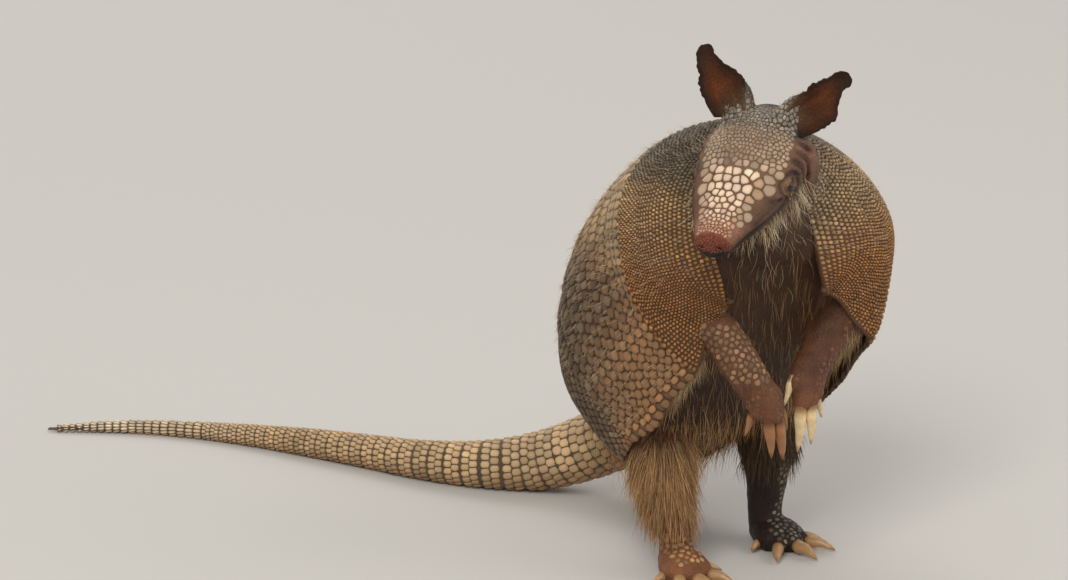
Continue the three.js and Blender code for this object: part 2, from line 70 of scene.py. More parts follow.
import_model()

MM = 0.001
OWN_ZERO = np.array([85.8255, -168.4681, 0.0])  # the animal's own zero in the row frame
SEED = 9
PLATE = 4.0  # how thick the plates of the carapace are
UNDER_PLATE = 1.5  # room between the plates and the skin
FLANK_RADIUS = 8.5  # the flesh inside the carapace's side edges
BAND_COUNT = 9
BAND_RISE = 1.4  # how far a band's rear edge stands over the next band
EYE_RADIUS = 4.4
CAP_SHARE = 0.12  # the share of a ball's rings that makes each rounded end of a loft
LEAST_SCUTE = 0.35  # the least half width of a scute
SCUTE_FLOOR, HAIR_FLOOR, SKIN_FLOOR, RING_FLOOR = 0.1, 0.2, 0.3, 0.8  # nothing of each kind is lower
HAIR_BENDS = 4
BAKE_HEIGHT = 0.36  # metres up the body that the map OFBake covers
BAKE_PATCH = 0.003  # width of one small shape's patch on that map
GOLDEN_TURN = 2.4  # radians between the spots of a patch

# ---------------------------------------------------------------- the animal's tables
# place of the middle, half width, height of the back, half height of the walls, the angles at which the
# carapace ends on the right and the left, and depth of the belly
TRUNK = (
    ((0, 98, 64), 46, 36, 70, 108, 108, 36),
    ((0, 86, 88), 68, 57, 130, 115, 115, 54),
    ((0, 72, 118), 79, 71, 125, 123, 120, 72),
    ((0, 50, 150), 84, 82, 122, 130, 125, 72),
    ((2, 25, 175), 87, 85, 108, 133, 128, 58),
    ((5, 6, 193), 89, 83, 94, 138, 137, 46),
    ((5, -6, 204), 91, 80, 66, 145, 151, 36),
    ((3, -15.5, 212.5), 86, 73, 54, 151, 156, 30),
    ((-1, -22.5, 218), 69, 61, 50, 151, 157, 26),
    ((-5, -28.5, 222), 33, 46, 76, 134, 142, 24),
)
TRUNK_FULLNESS = 0.62  # how square the flesh is under the middle: 1 is round
TRUNK_TOP = (0, 1, 0.45)
PELVIC_REAR, PELVIC_CORNER, PELVIC_FRONT = 0.25, 1.0, 2.1
SCAPULAR_REAR, SCAPULAR_NOTCH, SCAPULAR_FRONT = 5.05, 1.5, 8.95
TAIL = (
    ((0, 92, 72), 24), ((-8, 122, 50), 22), ((-22, 149, 32), 20.5), ((-43, 174, 18.6), 18.5),
    ((-71, 196, 14.2), 15.1), ((-97, 227, 11.8), 12.5), ((-117, 261, 10.1), 10.8), ((-138, 295, 8.6), 9.3),
    ((-160, 328, 6.8), 7.4), ((-184, 358, 5.3), 5.9), ((-211, 384, 4.4), 4.9), ((-239, 403, 3.4), 3.9),
    ((-266, 418, 1.9), 2.4),
)
HEAD_AT = np.array([0.0, -26.0, 275.0])
NOSE_AT = np.array([-68.5, -78.5, 228.0])
# the head's own frame: x to its left, y up and z forward; half width, height over and depth under the line
SKULL = (
    ((0, -2, -12), 20, 15, 18), ((0, 0, 2), 28, 20, 22), ((0, 0, 18), 32, 22, 23),
    ((0, -1, 34), 31, 20.5, 20), ((0, -2, 50), 27.5, 17, 16), ((0, -2, 66), 21.5, 13.5, 13),
    ((0, -1, 82), 14.5, 10, 10.5), ((0, 0, 91), 11.2, 8.6, 8.6),
)
JAW = (
    ((0, -12, 10), 24, 8, 11), ((0, -12, 38), 18, 7, 9.5), ((0, -9, 62), 11.5, 6, 7.5),
    ((0, -7, 80), 8, 5, 6),
)
EYE_PLACE = (27.6, 1.5, 37.5)
EYE_TILT = math.radians(18)
EYE_OPENING = (3.0, 2.3)  # half length and half height between the lids
EYE_INNERMOST = 15  # no part of the lids is nearer to the head's middle
NOSTRIL = (5.4, 0.5, 94.5)
RUFF = (((25, 3, 6), 7), ((28, -8, 9), 8), ((25, -20, 15), 9))  # the loose skin behind the cheek
EAR_BASE = (16.5, 13, 4)
EAR_FRONT = (-0.5, -0.8, 0.2)
EAR_TOWARD = {"left": (43, -7, 21), "right": (2.6, 24, 42.4)}
EAR_LENGTH, EAR_WIDTH, EAR_THICK, EAR_LEAN, EAR_BOW = 50.0, 12.4, 1.4, 7.5, 2.0
ARMS = {
    "left": {
        "line": (((44, 0, 196), 17), ((55, -20, 176), 14), ((50, -30, 160), 12.5), ((36, -33, 142), 11.5),
                 ((23, -41, 129), 11.5, 8.5, 8.5), ((18, -45, 120), 12.5, 7.5, 7.5)),
        "claws": (((10, -43, 128), (3, -46, 113), 2.4), ((13, -49, 112), (11, -49, 84), 3.9),
                  ((20, -49, 112), (19, -51, 88), 3.7), ((27, -43, 116), (29, -46, 102), 2.4)),
    },
    "right": {
        "line": (((-44, 4, 194), 17), ((-52, -19, 177), 14), ((-39, -38, 164), 12.8), ((-32, -54, 147), 12),
                 ((-23, -59, 131), 11.5, 8.5, 8.5), ((-17, -61, 121), 12.5, 7.5, 7.5)),
        "claws": (((-6, -58, 117), (-2, -58, 102), 2.4), ((-11, -63, 112), (-8, -64, 87), 3.9),
                  ((-18, -64, 112), (-17, -66, 90), 3.7), ((-26, -58, 117), (-30, -57, 103), 2.4)),
    },
}
LEGS = {
    "left": {
        "line": (((34, 50, 96), 27), ((37, 34, 66), 20), ((35, 28, 44), 14.5), ((33, 27, 24), 11),
                 ((33, 26, 11), 10.6)),
        "foot": (35, 12, 7),
        "claws": (((23, 14, 5.4), (13, 8, 2.4), 2.8), ((27, 0, 5.4), (17, -16, 2.4), 3.7),
                  ((38, -2, 5.4), (40, -24, 2.4), 4.3), ((47, 2, 5.4), (58, -15, 2.4), 4),
                  ((49, 14, 4.6), (61, 7, 2.4), 2.8)),
    },
    "right": {
        "line": (((-34, 46, 96), 27), ((-43, 22, 74), 22), ((-46, 9, 50), 16.5), ((-42, 5, 24), 11),
                 ((-42, 4, 11), 10.6)),
        "foot": (-44, -10, 7),
        "claws": (((-31, -7, 5.4), (-20, -13, 2.4), 2.8), ((-34, -21, 5.4), (-25, -38, 2.4), 3.7),
                  ((-44, -24, 5.4), (-43, -46, 2.4), 4.3), ((-53, -20, 5.4), (-62, -38, 2.4), 4),
                  ((-57, -9, 4.6), (-69, -16, 2.4), 2.8)),
    },
}
FLESH = (
    ["trunk", "neck", "head", "nose"]
    + [f"{part}_{side}" for part in ("upper_arm", "forearm", "hand", "thigh", "shin", "foot")
       for side in ("left", "right")]
    + [f"tail_{i}" for i in range(1, 7)]
)


# ---------------------------------------------------------------- lines and surfaces, in millimetres
def unit(v):
    v = np.asarray(v, float)
    return v / np.maximum(np.linalg.norm(v, axis=-1, keepdims=True), 1e-9)


def row(points):
    """Own millimetres to metres in the row frame."""
    return (np.asarray(points, float) + OWN_ZERO) * MM


def own(points):
    return np.asarray(points, float) / MM - OWN_ZERO


def step(value, low, high):
    t = np.clip((np.asarray(value, float) - low) / (high - low), 0, 1)
    return t * t * (3 - 2 * t)


def fall(value, low, high):
    return 1 - step(value, low, high)


def curve(points):
    """A smooth line through points, asked by the share of its length in stations."""
    points = np.array(points, float)
    ends = np.vstack([2 * points[0] - points[1], points, 2 * points[-1] - points[-2]])
    count = len(points) - 1

    def at(share):
        t = np.clip(np.atleast_1d(np.asarray(share, float)), 0, 1) * count
        i = np.minimum(t.astype(int), count - 1)
        w = (t - i)[:, None]
        a, b, c, d = ends[i], ends[i + 1], ends[i + 2], ends[i + 3]
        bent = (2 * a - 5 * b + 4 * c - d) * w**2 + (3 * b - a - 3 * c + d) * w**3
        return 0.5 * (2 * b + (c - a) * w + bent)

    return at


def folded(h):
    """Points of the head's frame, with its right half laid over its left half."""
    return np.stack([np.abs(h[:, 0]), h[:, 1], h[:, 2]], 1)


def sized(station):
    """A station's half width, height over and depth under its line."""
    sizes = station[1:]
    return (sizes[0],) * 3 if len(sizes) == 1 else sizes[:3]


def line_of(stations, top=(0, 0, 1), upright=False):
    """A loft's frame at each share of its line: place, direction, up, left and half sizes."""
    middle = curve([s[0] for s in stations])
    sizes = curve([sized(s) for s in stations])
    top = np.array(top, float)

    def at(share):
        share = np.atleast_1d(np.asarray(share, float))
        along = middle(share + 1e-4) - middle(share - 1e-4)
        if upright:
            along[:, 0] = 0
        along = unit(along)
        back = unit(top - along * (along @ top)[:, None])
        return middle(share), along, back, np.cross(back, along), sizes(share)

    return at


def on_line(line, share, turn, lift=0.0):
    """Points on a loft: share of its length, turn from the back in radians, lift over the surface."""
    at, _along, back, left, size = line(share)
    over = np.where(np.cos(turn) > 0, size[:, 1], size[:, 2])
    height = np.cos(turn) * (over + lift)
    return at + back * height[:, None] + left * (np.sin(turn) * (size[:, 0] + lift))[:, None]


LAST = len(TRUNK) - 1
shell_line = line_of(TRUNK, TRUNK_TOP, upright=True)
shell_edges = curve([(s[4], s[5], 0) for s in TRUNK])
HEAD_Z = unit(NOSE_AT - HEAD_AT)
HEAD_Y = unit(np.array([0, 0, 1.0]) - HEAD_Z * HEAD_Z[2])
HEAD_AXES = np.array([np.cross(HEAD_Y, HEAD_Z), HEAD_Y, HEAD_Z])


def from_head(points):
    return np.asarray(points, float) @ HEAD_AXES + HEAD_AT


def to_head(points):
    return (np.asarray(points, float) - HEAD_AT) @ HEAD_AXES.T


def mirrored(point, side):
    return np.array(point, float) * ((1 if side == "left" else -1), 1, 1)


def shell_turn(place, share):
    """The angle from the back at a share of the way to the right (-1) or the left (1) side edge."""
    edges = shell_edges(np.clip(place, 0, LAST) / LAST)
    return np.radians(np.where(share < 0, edges[:, 0], edges[:, 1])) * share


def shell_place(place, share, lift):
    """Points on the carapace: place along the trunk in stations, share of the way to the side edge."""
    place, share = np.broadcast_arrays(np.asarray(place, float), np.asarray(share, float))
    return on_line(shell_line, np.clip(place, 0, LAST) / LAST, shell_turn(place, share), lift)


def shell_frames(place, share, lift):
    """Points on the carapace with the outward normal and the direction towards the rump."""
    at = shell_place(place, share, lift)
    aside = shell_place(place, share + 0.004, lift) - shell_place(place, share - 0.004, lift)
    rear = unit(shell_place(place - 0.02, share, lift) - shell_place(place + 0.02, share, lift))
    normal = unit(np.cross(aside, rear))
    return at, normal, rear


# ---------------------------------------------------------------- mesh tools
def deselect():
    for piece in bpy.context.view_layer.objects:
        piece.select_set(False)


def activate(*pieces):
    deselect()
    for piece in pieces:
        piece.select_set(True)
    bpy.context.view_layer.objects.active = pieces[0]
    return pieces[0]


def coords(piece):
    out = np.empty(len(piece.data.vertices) * 3)
    piece.data.vertices.foreach_get("co", out)
    return out.reshape(-1, 3)


def set_coords(piece, points):
    piece.data.vertices.foreach_set("co", np.asarray(points, np.float32).ravel())
    piece.data.update()


def normals(piece):
    out = np.empty(len(piece.data.vertices) * 3)
    piece.data.vertices.foreach_get("normal", out)
    return out.reshape(-1, 3)


def apply_modifier(piece, kind, **settings):
    activate(piece)
    modifier = piece.modifiers.new(kind.title(), kind)
    for name, value in settings.items():
        setattr(modifier, name, value)
    bpy.ops.object.modifier_apply(modifier=modifier.name)


def new_ball(name, sides, rings):
    deselect()
    bpy.ops.mesh.primitive_uv_sphere_add(segments=sides, ring_count=rings, radius=1)
    piece = bpy.context.object
    piece.name = name
    return piece


def new_grid(name, columns, rows):
    deselect()
    bpy.ops.mesh.primitive_grid_add(x_subdivisions=columns, y_subdivisions=rows, size=2)
    piece = bpy.context.object
    piece.name = name
    return piece


def face_outwards(piece):
    activate(piece)
    bpy.ops.object.mode_set(mode="EDIT")
    bpy.ops.mesh.select_all(action="SELECT")
    bpy.ops.mesh.normals_make_consistent(inside=False)
    bpy.ops.object.mode_set(mode="OBJECT")


def smooth(piece, angle=60):
    activate(piece)
    bpy.ops.object.shade_smooth_by_angle(angle=math.radians(angle))


def wrapped(name, stations, sides=24, rings=40, top=(0, 0, 1), upright=False, cap=(0.7, 0.7),
            frame_of=None, fullness=1.0):
    """A ball shaped round a line of stations, with rounded ends as long as cap times their own radius."""
    piece = new_ball(name, sides, rings)
    ball = coords(piece)
    down = np.arccos(np.clip(ball[:, 2], -1, 1)) / math.pi
    turn = np.arctan2(ball[:, 1], ball[:, 0])
    start = np.clip(1 - down / CAP_SHARE, 0, 1) * math.pi / 2
    end = np.clip(1 - (1 - down) / CAP_SHARE, 0, 1) * math.pi / 2
    share = np.clip((down - CAP_SHARE) / (1 - 2 * CAP_SHARE), 0, 1)
    at, along, back, left, half = line_of(stations, top, upright)(share)
    first, last = cap[0] * min(sized(stations[0])[:2]), cap[1] * min(sized(stations[-1])[:2])
    scale = np.cos(start) * np.cos(end)
    shift = last * np.sin(end) - first * np.sin(start)
    upper = np.cos(turn) > 0
    over = np.where(upper, half[:, 1], half[:, 2])
    power = np.where(upper, 1.0, fullness)
    rise, aside = (np.sign(value) * np.abs(value) ** power for value in (np.cos(turn), np.sin(turn)))
    points = (at + along * shift[:, None] + back * (rise * over * scale)[:, None]
              + left * (aside * half[:, 0] * scale)[:, None])
    set_coords(piece, row(frame_of(points) if frame_of else points))
    return piece


def mesh_piece(name, points, faces):
    """A joined mesh of many small shapes, from arrays."""
    mesh = bpy.data.meshes.new(name)
    mesh.vertices.add(len(points))
    mesh.vertices.foreach_set("co", np.asarray(points, np.float32).ravel())
    faces = np.asarray(faces, np.int32)
    corners = faces.shape[1]
    mesh.loops.add(faces.size)
    mesh.loops.foreach_set("vertex_index", faces.ravel())
    mesh.polygons.add(len(faces))
    mesh.polygons.foreach_set("loop_start", np.arange(0, faces.size, corners, dtype=np.int32))
    mesh.update(calc_edges=True)
    mesh.validate()
    mesh.polygons.foreach_set("use_smooth", np.ones(len(mesh.polygons), bool))
    piece = bpy.data.objects.new(name, mesh)
    bpy.context.scene.collection.objects.link(piece)
    return piece


def linear(colour):
    """Linear values of a colour given as it looks on a screen."""
    colour = np.clip(np.asarray(colour, float), 0, 1)
    return np.where(colour <= 0.04045, colour / 12.92, ((colour + 0.055) / 1.055) ** 2.4)


def paint(piece, colours):
    """Keeps each vertex's colour as the attribute tint."""
    tint = piece.data.attributes.new("tint", "FLOAT_COLOR", "POINT")
    values = np.ones((len(piece.data.vertices), 4), np.float32)
    values[:, :3] = linear(colours)
    tint.data.foreach_set("color", values.ravel())


def mark(piece, name, values):
    attribute = piece.data.attributes.new(name, "FLOAT", "POINT")
    attribute.data.foreach_set("value", np.asarray(values, np.float32))


def mix(a, b, share):
    share = np.asarray(share)[..., None]
    return np.asarray(a, float) * (1 - share) + np.asarray(b, float) * share


def layered(base, layers):
    """A colour with named shades laid over it, each with its share at every point."""
    for shade, share in layers:
        base = mix(base, colour(shade), share)
    return base


def ripple(points, size, seed=0.0):
    """A soft pattern between -1 and 1 that changes over about size millimetres."""
    p = np.asarray(points, float) / size + seed
    x, y, z = p[:, 0], p[:, 1], p[:, 2]
    return (np.sin(x * 1.7 + 1.3 * np.sin(y * 1.1 + seed)) + np.sin(y * 1.9 + 1.5 * np.sin(z * 1.3))
            + np.sin(z * 2.1 + 1.2 * np.sin(x * 0.9 + 2 * seed))) / 3


def body_map(piece, roots):
    """The map OFBake: each small shape is a patch at its root's place on an unwrap round the body."""
    mesh = piece.data
    per = len(mesh.vertices) // len(roots)
    middle = row((0, 40, 0))
    u = 0.5 + np.arctan2(roots[:, 0] - middle[0], -(roots[:, 1] - middle[1])) / (2 * math.pi)
    v = np.clip(roots[:, 2] / BAKE_HEIGHT, 0, 1)
    centre = 0.002 + 0.996 * np.stack([u, v], 1)
    spot = np.arange(per)
    turn = spot * GOLDEN_TURN
    out = (BAKE_PATCH / 2) * np.sqrt((spot + 0.5) / per)
    offset = np.stack([np.cos(turn), np.sin(turn)], 1) * out[:, None]
    uv = (centre[:, None] + offset[None]).reshape(-1, 2)
    layer = mesh.uv_layers.new(name="OFBake")
    index = np.empty(len(mesh.loops), np.int32)
    mesh.loops.foreach_get("vertex_index", index)
    layer.data.foreach_set("uv", np.clip(uv[index], 0, 1).astype(np.float32).ravel())


# ---------------------------------------------------------------- scutes
def cell_radii(at, across, rear, angles, reach):
    """How far each place reaches in each direction before it is nearer to a neighbour."""
    count = len(at)
    near_count = min(14, count - 1)
    facing, none = 0.05, 1e3
    out = np.empty((count, len(angles)))
    for start in range(0, count, 256):
        some = slice(start, min(start + 256, count))
        apart = at[None] - at[some, None]
        far = np.linalg.norm(apart, axis=2)
        near = np.argpartition(far, near_count, axis=1)[:, : near_count + 1]
        apart = np.take_along_axis(apart, near[..., None], axis=1)
        a = np.einsum("cnk,ck->cn", apart, across[some])
        b = np.einsum("cnk,ck->cn", apart, rear[some])
        length, heading = np.hypot(a, b), np.arctan2(b, a)
        toward = np.cos(angles[None, None] - heading[..., None])
        meets = (toward > facing) & (length > 1e-6)[..., None]
        radius = np.where(meets, length[..., None] / 2 / np.maximum(toward, facing), none)
        out[some] = np.minimum(radius.min(axis=1), reach[some, None])
    return out


def repeated(one, count, per):
    """The faces of count copies of a shape that has per points."""
    return (np.asarray(one)[None] + (np.arange(count) * per)[:, None, None]).reshape(-1, 3)


def scutes(name, at, normal, rear, reach, tint, rise=0.9, gap=0.5, rounding=0.35, tilt=0.0, sides=10,
           sink=0.8, bend=None):
    """Domed plates, each as wide as the room that its neighbours leave it, in own millimetres."""
    count, per = len(at), 3 * sides + 1
    reach = np.broadcast_to(np.asarray(reach, float), (count,))
    rise = np.broadcast_to(np.asarray(rise, float), (count,))
    across = unit(np.cross(normal, rear))
    rear = unit(np.cross(across, normal))
    angles = 2 * math.pi * (np.arange(sides) + 0.5) / sides
    radius = cell_radii(at, across, rear, angles, reach) - np.broadcast_to(gap, (count,))[:, None] / 2
    radius = np.maximum(radius, LEAST_SCUTE)
    radius = radius * (1 - rounding) + radius.min(axis=1, keepdims=True) * rounding
    x, y = radius * np.cos(angles), radius * np.sin(angles)
    rings = ((1.0, -sink, 1.0), (0.97, 0.35, 0.75), (0.72, 0.86, 0.25))  # share of the width, height, groove
    points = np.empty((count, per, 3))
    rims = np.empty((count, per))
    for k, (scale, height, rim) in enumerate(rings):
        if height < 0:
            lift = np.full((count, sides), height)
        else:
            lift = height * rise[:, None] + tilt * y * scale / np.maximum(radius, 1)
        if bend is not None:
            lift = lift - (x * scale) ** 2 / (2 * bend[:, None])
        points[:, k * sides:(k + 1) * sides] = (
            at[:, None] + across[:, None] * (x * scale)[..., None] + rear[:, None] * (y * scale)[..., None]
            + normal[:, None] * lift[..., None])
        rims[:, k * sides:(k + 1) * sides] = rim
    points[:, -1] = at + normal * rise[:, None]
    rims[:, -1] = 0
    j = np.arange(sides)
    k = (j + 1) % sides
    rows = []
    for base in (0, sides):
        rows.append(np.stack([j + base, k + base, k + base + sides], 1))
        rows.append(np.stack([j + base, k + base + sides, j + base + sides], 1))
    rows.append(np.stack([j + 2 * sides, k + 2 * sides, np.full(sides, 3 * sides)], 1))
    points[..., 2] = np.maximum(points[..., 2], SCUTE_FLOOR)
    piece = mesh_piece(name, row(points.reshape(-1, 3)), repeated(np.concatenate(rows), count, per))
    paint(piece, np.repeat(tint, per, axis=0))
    mark(piece, "rim", rims.ravel())
    body_map(piece, row(at))
    return piece


# ---------------------------------------------------------------- hair
def strands(name, roots, heading, length, width, tint, droop=0.3, curl=0.12, seed=1):
    """Thin tapered hairs with three sides, from roots in own millimetres."""
    rng = np.random.default_rng(seed)
    count, per = len(roots), 3 * HAIR_BENDS + 1
    heading = unit(heading)
    length = np.broadcast_to(np.asarray(length, float), (count,))
    width = np.broadcast_to(np.asarray(width, float), (count,))
    side = unit(np.cross(heading, unit(rng.normal(size=(count, 3)))))
    other = np.cross(heading, side)
    swing = rng.normal(size=(count, 2)) * curl
    points, shade = np.empty((count, per, 3)), np.ones((count, per))
    for k in range(HAIR_BENDS + 1):
        t = k / HAIR_BENDS
        middle = (roots + heading * (length * t)[:, None]
                  - np.array([0, 0, 1.0]) * (droop * length * t**2)[:, None]
                  + side * (swing[:, 0] * length * t**2)[:, None]
                  + other * (swing[:, 1] * length * np.sin(2.6 * t))[:, None])
        if k == HAIR_BENDS:
            points[:, -1] = middle
            break
        thick = width * (1 - 0.75 * t**1.5) / 2
        for c in range(3):
            a = 2 * math.pi * c / 3
            points[:, 3 * k + c] = middle + (side * math.cos(a) + other * math.sin(a)) * thick[:, None]
        shade[:, 3 * k:3 * k + 3] = t
    one = []
    for k in range(HAIR_BENDS - 1):
        for c in range(3):
            d = (c + 1) % 3
            one += [(3 * k + c, 3 * k + d, 3 * k + 3 + d), (3 * k + c, 3 * k + 3 + d, 3 * k + 3 + c)]
    last = 3 * (HAIR_BENDS - 1)
    one += [(last + c, last + (c + 1) % 3, 3 * HAIR_BENDS) for c in range(3)]
    one.append((2, 1, 0))
    points[..., 2] = np.maximum(points[..., 2], HAIR_FLOOR)
    piece = mesh_piece(name, row(points.reshape(-1, 3)), repeated(one, count, per))
    colours = np.repeat(tint[:, None], per, axis=1)
    paint(piece, mix(colours * 0.72, np.minimum(colours * 1.12, 1), shade).reshape(-1, 3))
    body_map(piece, row(roots))
    return piece


def feed(tree, socket, value):
    """Links an output to an input, or gives the input a plain value."""
    if isinstance(value, bpy.types.NodeSocket):
        tree.links.new(value, socket)
    else:
        socket.default_value = value


# ---------------------------------------------------------------- materials
GROOVE_PAINTED_SHADE = (0.30, 0.24, 0.19, 1)  # painted shade: darkens a scute towards its rim, where it sinks into the groove between scutes
CRACK_SHADE = (0.25, 0.2, 0.17, 1)  # darkens the cracks of the leather
BUMP_DEPTH = 0.0004


def node(tree, kind, *values, **settings):
    """A node with its settings made and its inputs fed, in their order or by name."""
    made = tree.nodes.new(kind)
    inputs = dict(enumerate(values))
    for name, value in settings.items():
        label = name.replace("_", " ")
        if label in made.inputs:
            inputs[label] = value
        else:
            setattr(made, name, value)
    for name, value in inputs.items():
        feed(tree, made.inputs[name], value)
    return made


def new_group(name, inputs, outputs):
    """A node group whose inputs have default values; a socket called Color holds a colour."""
    group = bpy.data.node_groups.new(name, "ShaderNodeTree")
    for way, label in [("INPUT", label) for label in inputs] + [("OUTPUT", label) for label in outputs]:
        kind = "NodeSocketColor" if label == "Color" else "NodeSocketFloat"
        socket = group.interface.new_socket(name=label, in_out=way, socket_type=kind)
        if way == "INPUT" and inputs[label] is not None:
            socket.default_value = inputs[label]
    return group, group.nodes.new("NodeGroupInput"), group.nodes.new("NodeGroupOutput")


def mottling_group():
    """Blotches and fine specks that lighten and darken a colour."""
    inputs = {"Color": None, "Blotch Scale": 90.0, "Speck Scale": 900.0, "Amount": 0.3}
    group, start, end = new_group("Mottling", inputs, ("Color",))
    place = node(group, "ShaderNodeTexCoord").outputs["Object"]
    noises = []
    for scale, detail, roughness in (("Blotch Scale", 4.0, 0.6), ("Speck Scale", 3.0, 0.7)):
        noise = node(group, "ShaderNodeTexNoise", Vector=place, Scale=start.outputs[scale], Detail=detail,
                     Roughness=roughness)
        noises.append(noise.outputs["Fac"])
    both = node(group, "ShaderNodeMath", *noises, operation="ADD")
    centred = node(group, "ShaderNodeMath", both.outputs[0], 1.0, operation="SUBTRACT")
    change = node(group, "ShaderNodeMath", centred.outputs[0], start.outputs["Amount"], 1.0,
                  operation="MULTIPLY_ADD")
    scaled = node(group, "ShaderNodeVectorMath", start.outputs["Color"], operation="SCALE",
                  Scale=change.outputs[0])
    feed(group, end.inputs["Color"], scaled.outputs[0])
    return group


def leather_group():
    """The height and the dark lines of fine cracked leather."""
    group, start, end = new_group("Leather Grain", {"Scale": 700.0, "Sharpness": 5.0}, ("Height", "Cracks"))
    place = node(group, "ShaderNodeTexCoord").outputs["Object"]
    cells = node(group, "ShaderNodeTexVoronoi", feature="DISTANCE_TO_EDGE", Vector=place,
                 Scale=start.outputs["Scale"])
    sharp = node(group, "ShaderNodeMath", cells.outputs["Distance"], start.outputs["Sharpness"],
                 operation="MULTIPLY", use_clamp=True)
    cracks = node(group, "ShaderNodeMath", 1.0, sharp.outputs[0], operation="SUBTRACT")
    feed(group, end.inputs["Height"], sharp.outputs[0])
    feed(group, end.inputs["Cracks"], cracks.outputs[0])
    return group


def new_material(name, roughness, **settings):
    material = bpy.data.materials.new(name)
    material.use_nodes = True
    shader = material.node_tree.nodes["Principled BSDF"]
    shader.inputs["Roughness"].default_value = roughness
    for label, value in settings.items():
        shader.inputs[label.replace("_", " ")].default_value = value
    return material, material.node_tree, shader


def mixed(tree, first, second, factor, blend="MIX"):
    """The output of a node that mixes two colours."""
    made = node(tree, "ShaderNodeMix", data_type="RGBA", blend_type=blend, Factor=factor)
    feed(tree, made.inputs[6], first)
    feed(tree, made.inputs[7], second)
    return made.outputs[2]


def tinted_material(name, groups, roughness, crack_scale=700.0, crack_dark=0.35, blotch=90.0, amount=0.4,
                    bump=0.3, grooved=False, **settings):
    """A material whose colour is the piece's own tint, with mottling and leather grain."""
    material, tree, shader = new_material(name, roughness, **settings)
    tint = node(tree, "ShaderNodeAttribute", attribute_name="tint")
    mottled = node(tree, "ShaderNodeGroup", node_tree=groups["mottling"], Color=tint.outputs["Color"],
                   Blotch_Scale=blotch, Amount=amount)
    grain = node(tree, "ShaderNodeGroup", node_tree=groups["leather"], Scale=crack_scale)
    shown = mottled.outputs["Color"]
    # painted shade: each scute is darkened towards its rim, down into the groove round it
    if grooved:
        rim = node(tree, "ShaderNodeAttribute", attribute_name="rim")
        shade = node(tree, "ShaderNodeMath", rim.outputs["Fac"], 1.6, operation="POWER")
        darker = mixed(tree, shown, GROOVE_PAINTED_SHADE, 1.0, "MULTIPLY")
        shown = mixed(tree, shown, darker, shade.outputs[0])
    share = node(tree, "ShaderNodeMath", grain.outputs["Cracks"], crack_dark, operation="MULTIPLY")
    shown = mixed(tree, shown, CRACK_SHADE, share.outputs[0], "MULTIPLY")
    feed(tree, shader.inputs["Base Color"], shown)
    bumped = node(tree, "ShaderNodeBump", Strength=bump, Distance=BUMP_DEPTH, Height=grain.outputs["Height"])
    feed(tree, shader.inputs["Normal"], bumped.outputs["Normal"])
    return material


MATERIAL_LOOKS = {
    "skin": {"roughness": 0.52, "crack_scale": 620, "amount": 0.6, "bump": 0.6, "Specular_IOR_Level": 0.3},
    "scute": {"roughness": 0.48, "crack_scale": 1500, "crack_dark": 0.12, "amount": 0.45, "bump": 0.15,
              "grooved": True, "Specular_IOR_Level": 0.32},
    "ground": {"roughness": 0.75, "crack_scale": 900, "amount": 0.6, "bump": 0.4},
    "ear": {"roughness": 0.8, "crack_scale": 480, "crack_dark": 0.4, "amount": 0.8, "blotch": 120,
            "Specular_IOR_Level": 0.2},
    "claw": {"roughness": 0.36, "crack_scale": 300, "crack_dark": 0.1, "amount": 0.35, "blotch": 200,
             "bump": 0.1, "Coat_Weight": 0.2},
    "hair": {"roughness": 0.5, "crack_dark": 0.0, "amount": 0.3, "bump": 0.0, "Specular_IOR_Level": 0.25},
    "eye": {"roughness": 0.22, "crack_dark": 0.0, "amount": 0.3, "bump": 0.0, "Coat_Weight": 0.3,
            "Coat_Roughness": 0.1},
}
MATERIALS = {}


def dress(piece, material, slot, *nodes):
    """Gives a finished piece its material and its body, and hides the nodes it stands for. The slot is not
    used.
    """
    piece.data.materials.clear()
    piece.data.materials.append(MATERIALS[material])
    if nodes:
        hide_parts(*nodes)
    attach(piece, "root")
    return piece


# ---------------------------------------------------------------- settings
def shade_property(label, description, shade):
    return bpy.props.FloatVectorProperty(name=label, description=description, subtype="COLOR_GAMMA",
                                         size=3, default=shade, min=0, max=1)


def length_property(label, description, millimetres):
    return bpy.props.FloatProperty(name=label, description=description, unit="LENGTH",
                                   default=millimetres * MM, min=0)


class ArmadilloSizes(bpy.types.PropertyGroup):
    skin_voxel: length_property("Skin Voxel", "Size of the mesh cells of the skin", 1.5)
    coat_depth: length_property("Coat Depth", "How far the skin of the legs lies inside the coat", 2.2)
    bead_pitch: length_property("Bead Pitch", "Reach of the beads of the shoulder shield", 2.6)
    band_pitch: length_property("Band Pitch", "Reach of the scutes of a band", 4.4)
    pelvic_pitch: length_property("Pelvic Pitch", "Reach of the scutes of the hip shield", 4.6)
    leg_hair: length_property("Leg Hair", "Length of the hair that hangs over the hind legs", 21)
    belly_hair: length_property("Belly Hair", "Length of the hair on the belly", 14)
    throat_hair: length_property("Throat Hair", "Length of the bristles on the throat and cheeks", 10)


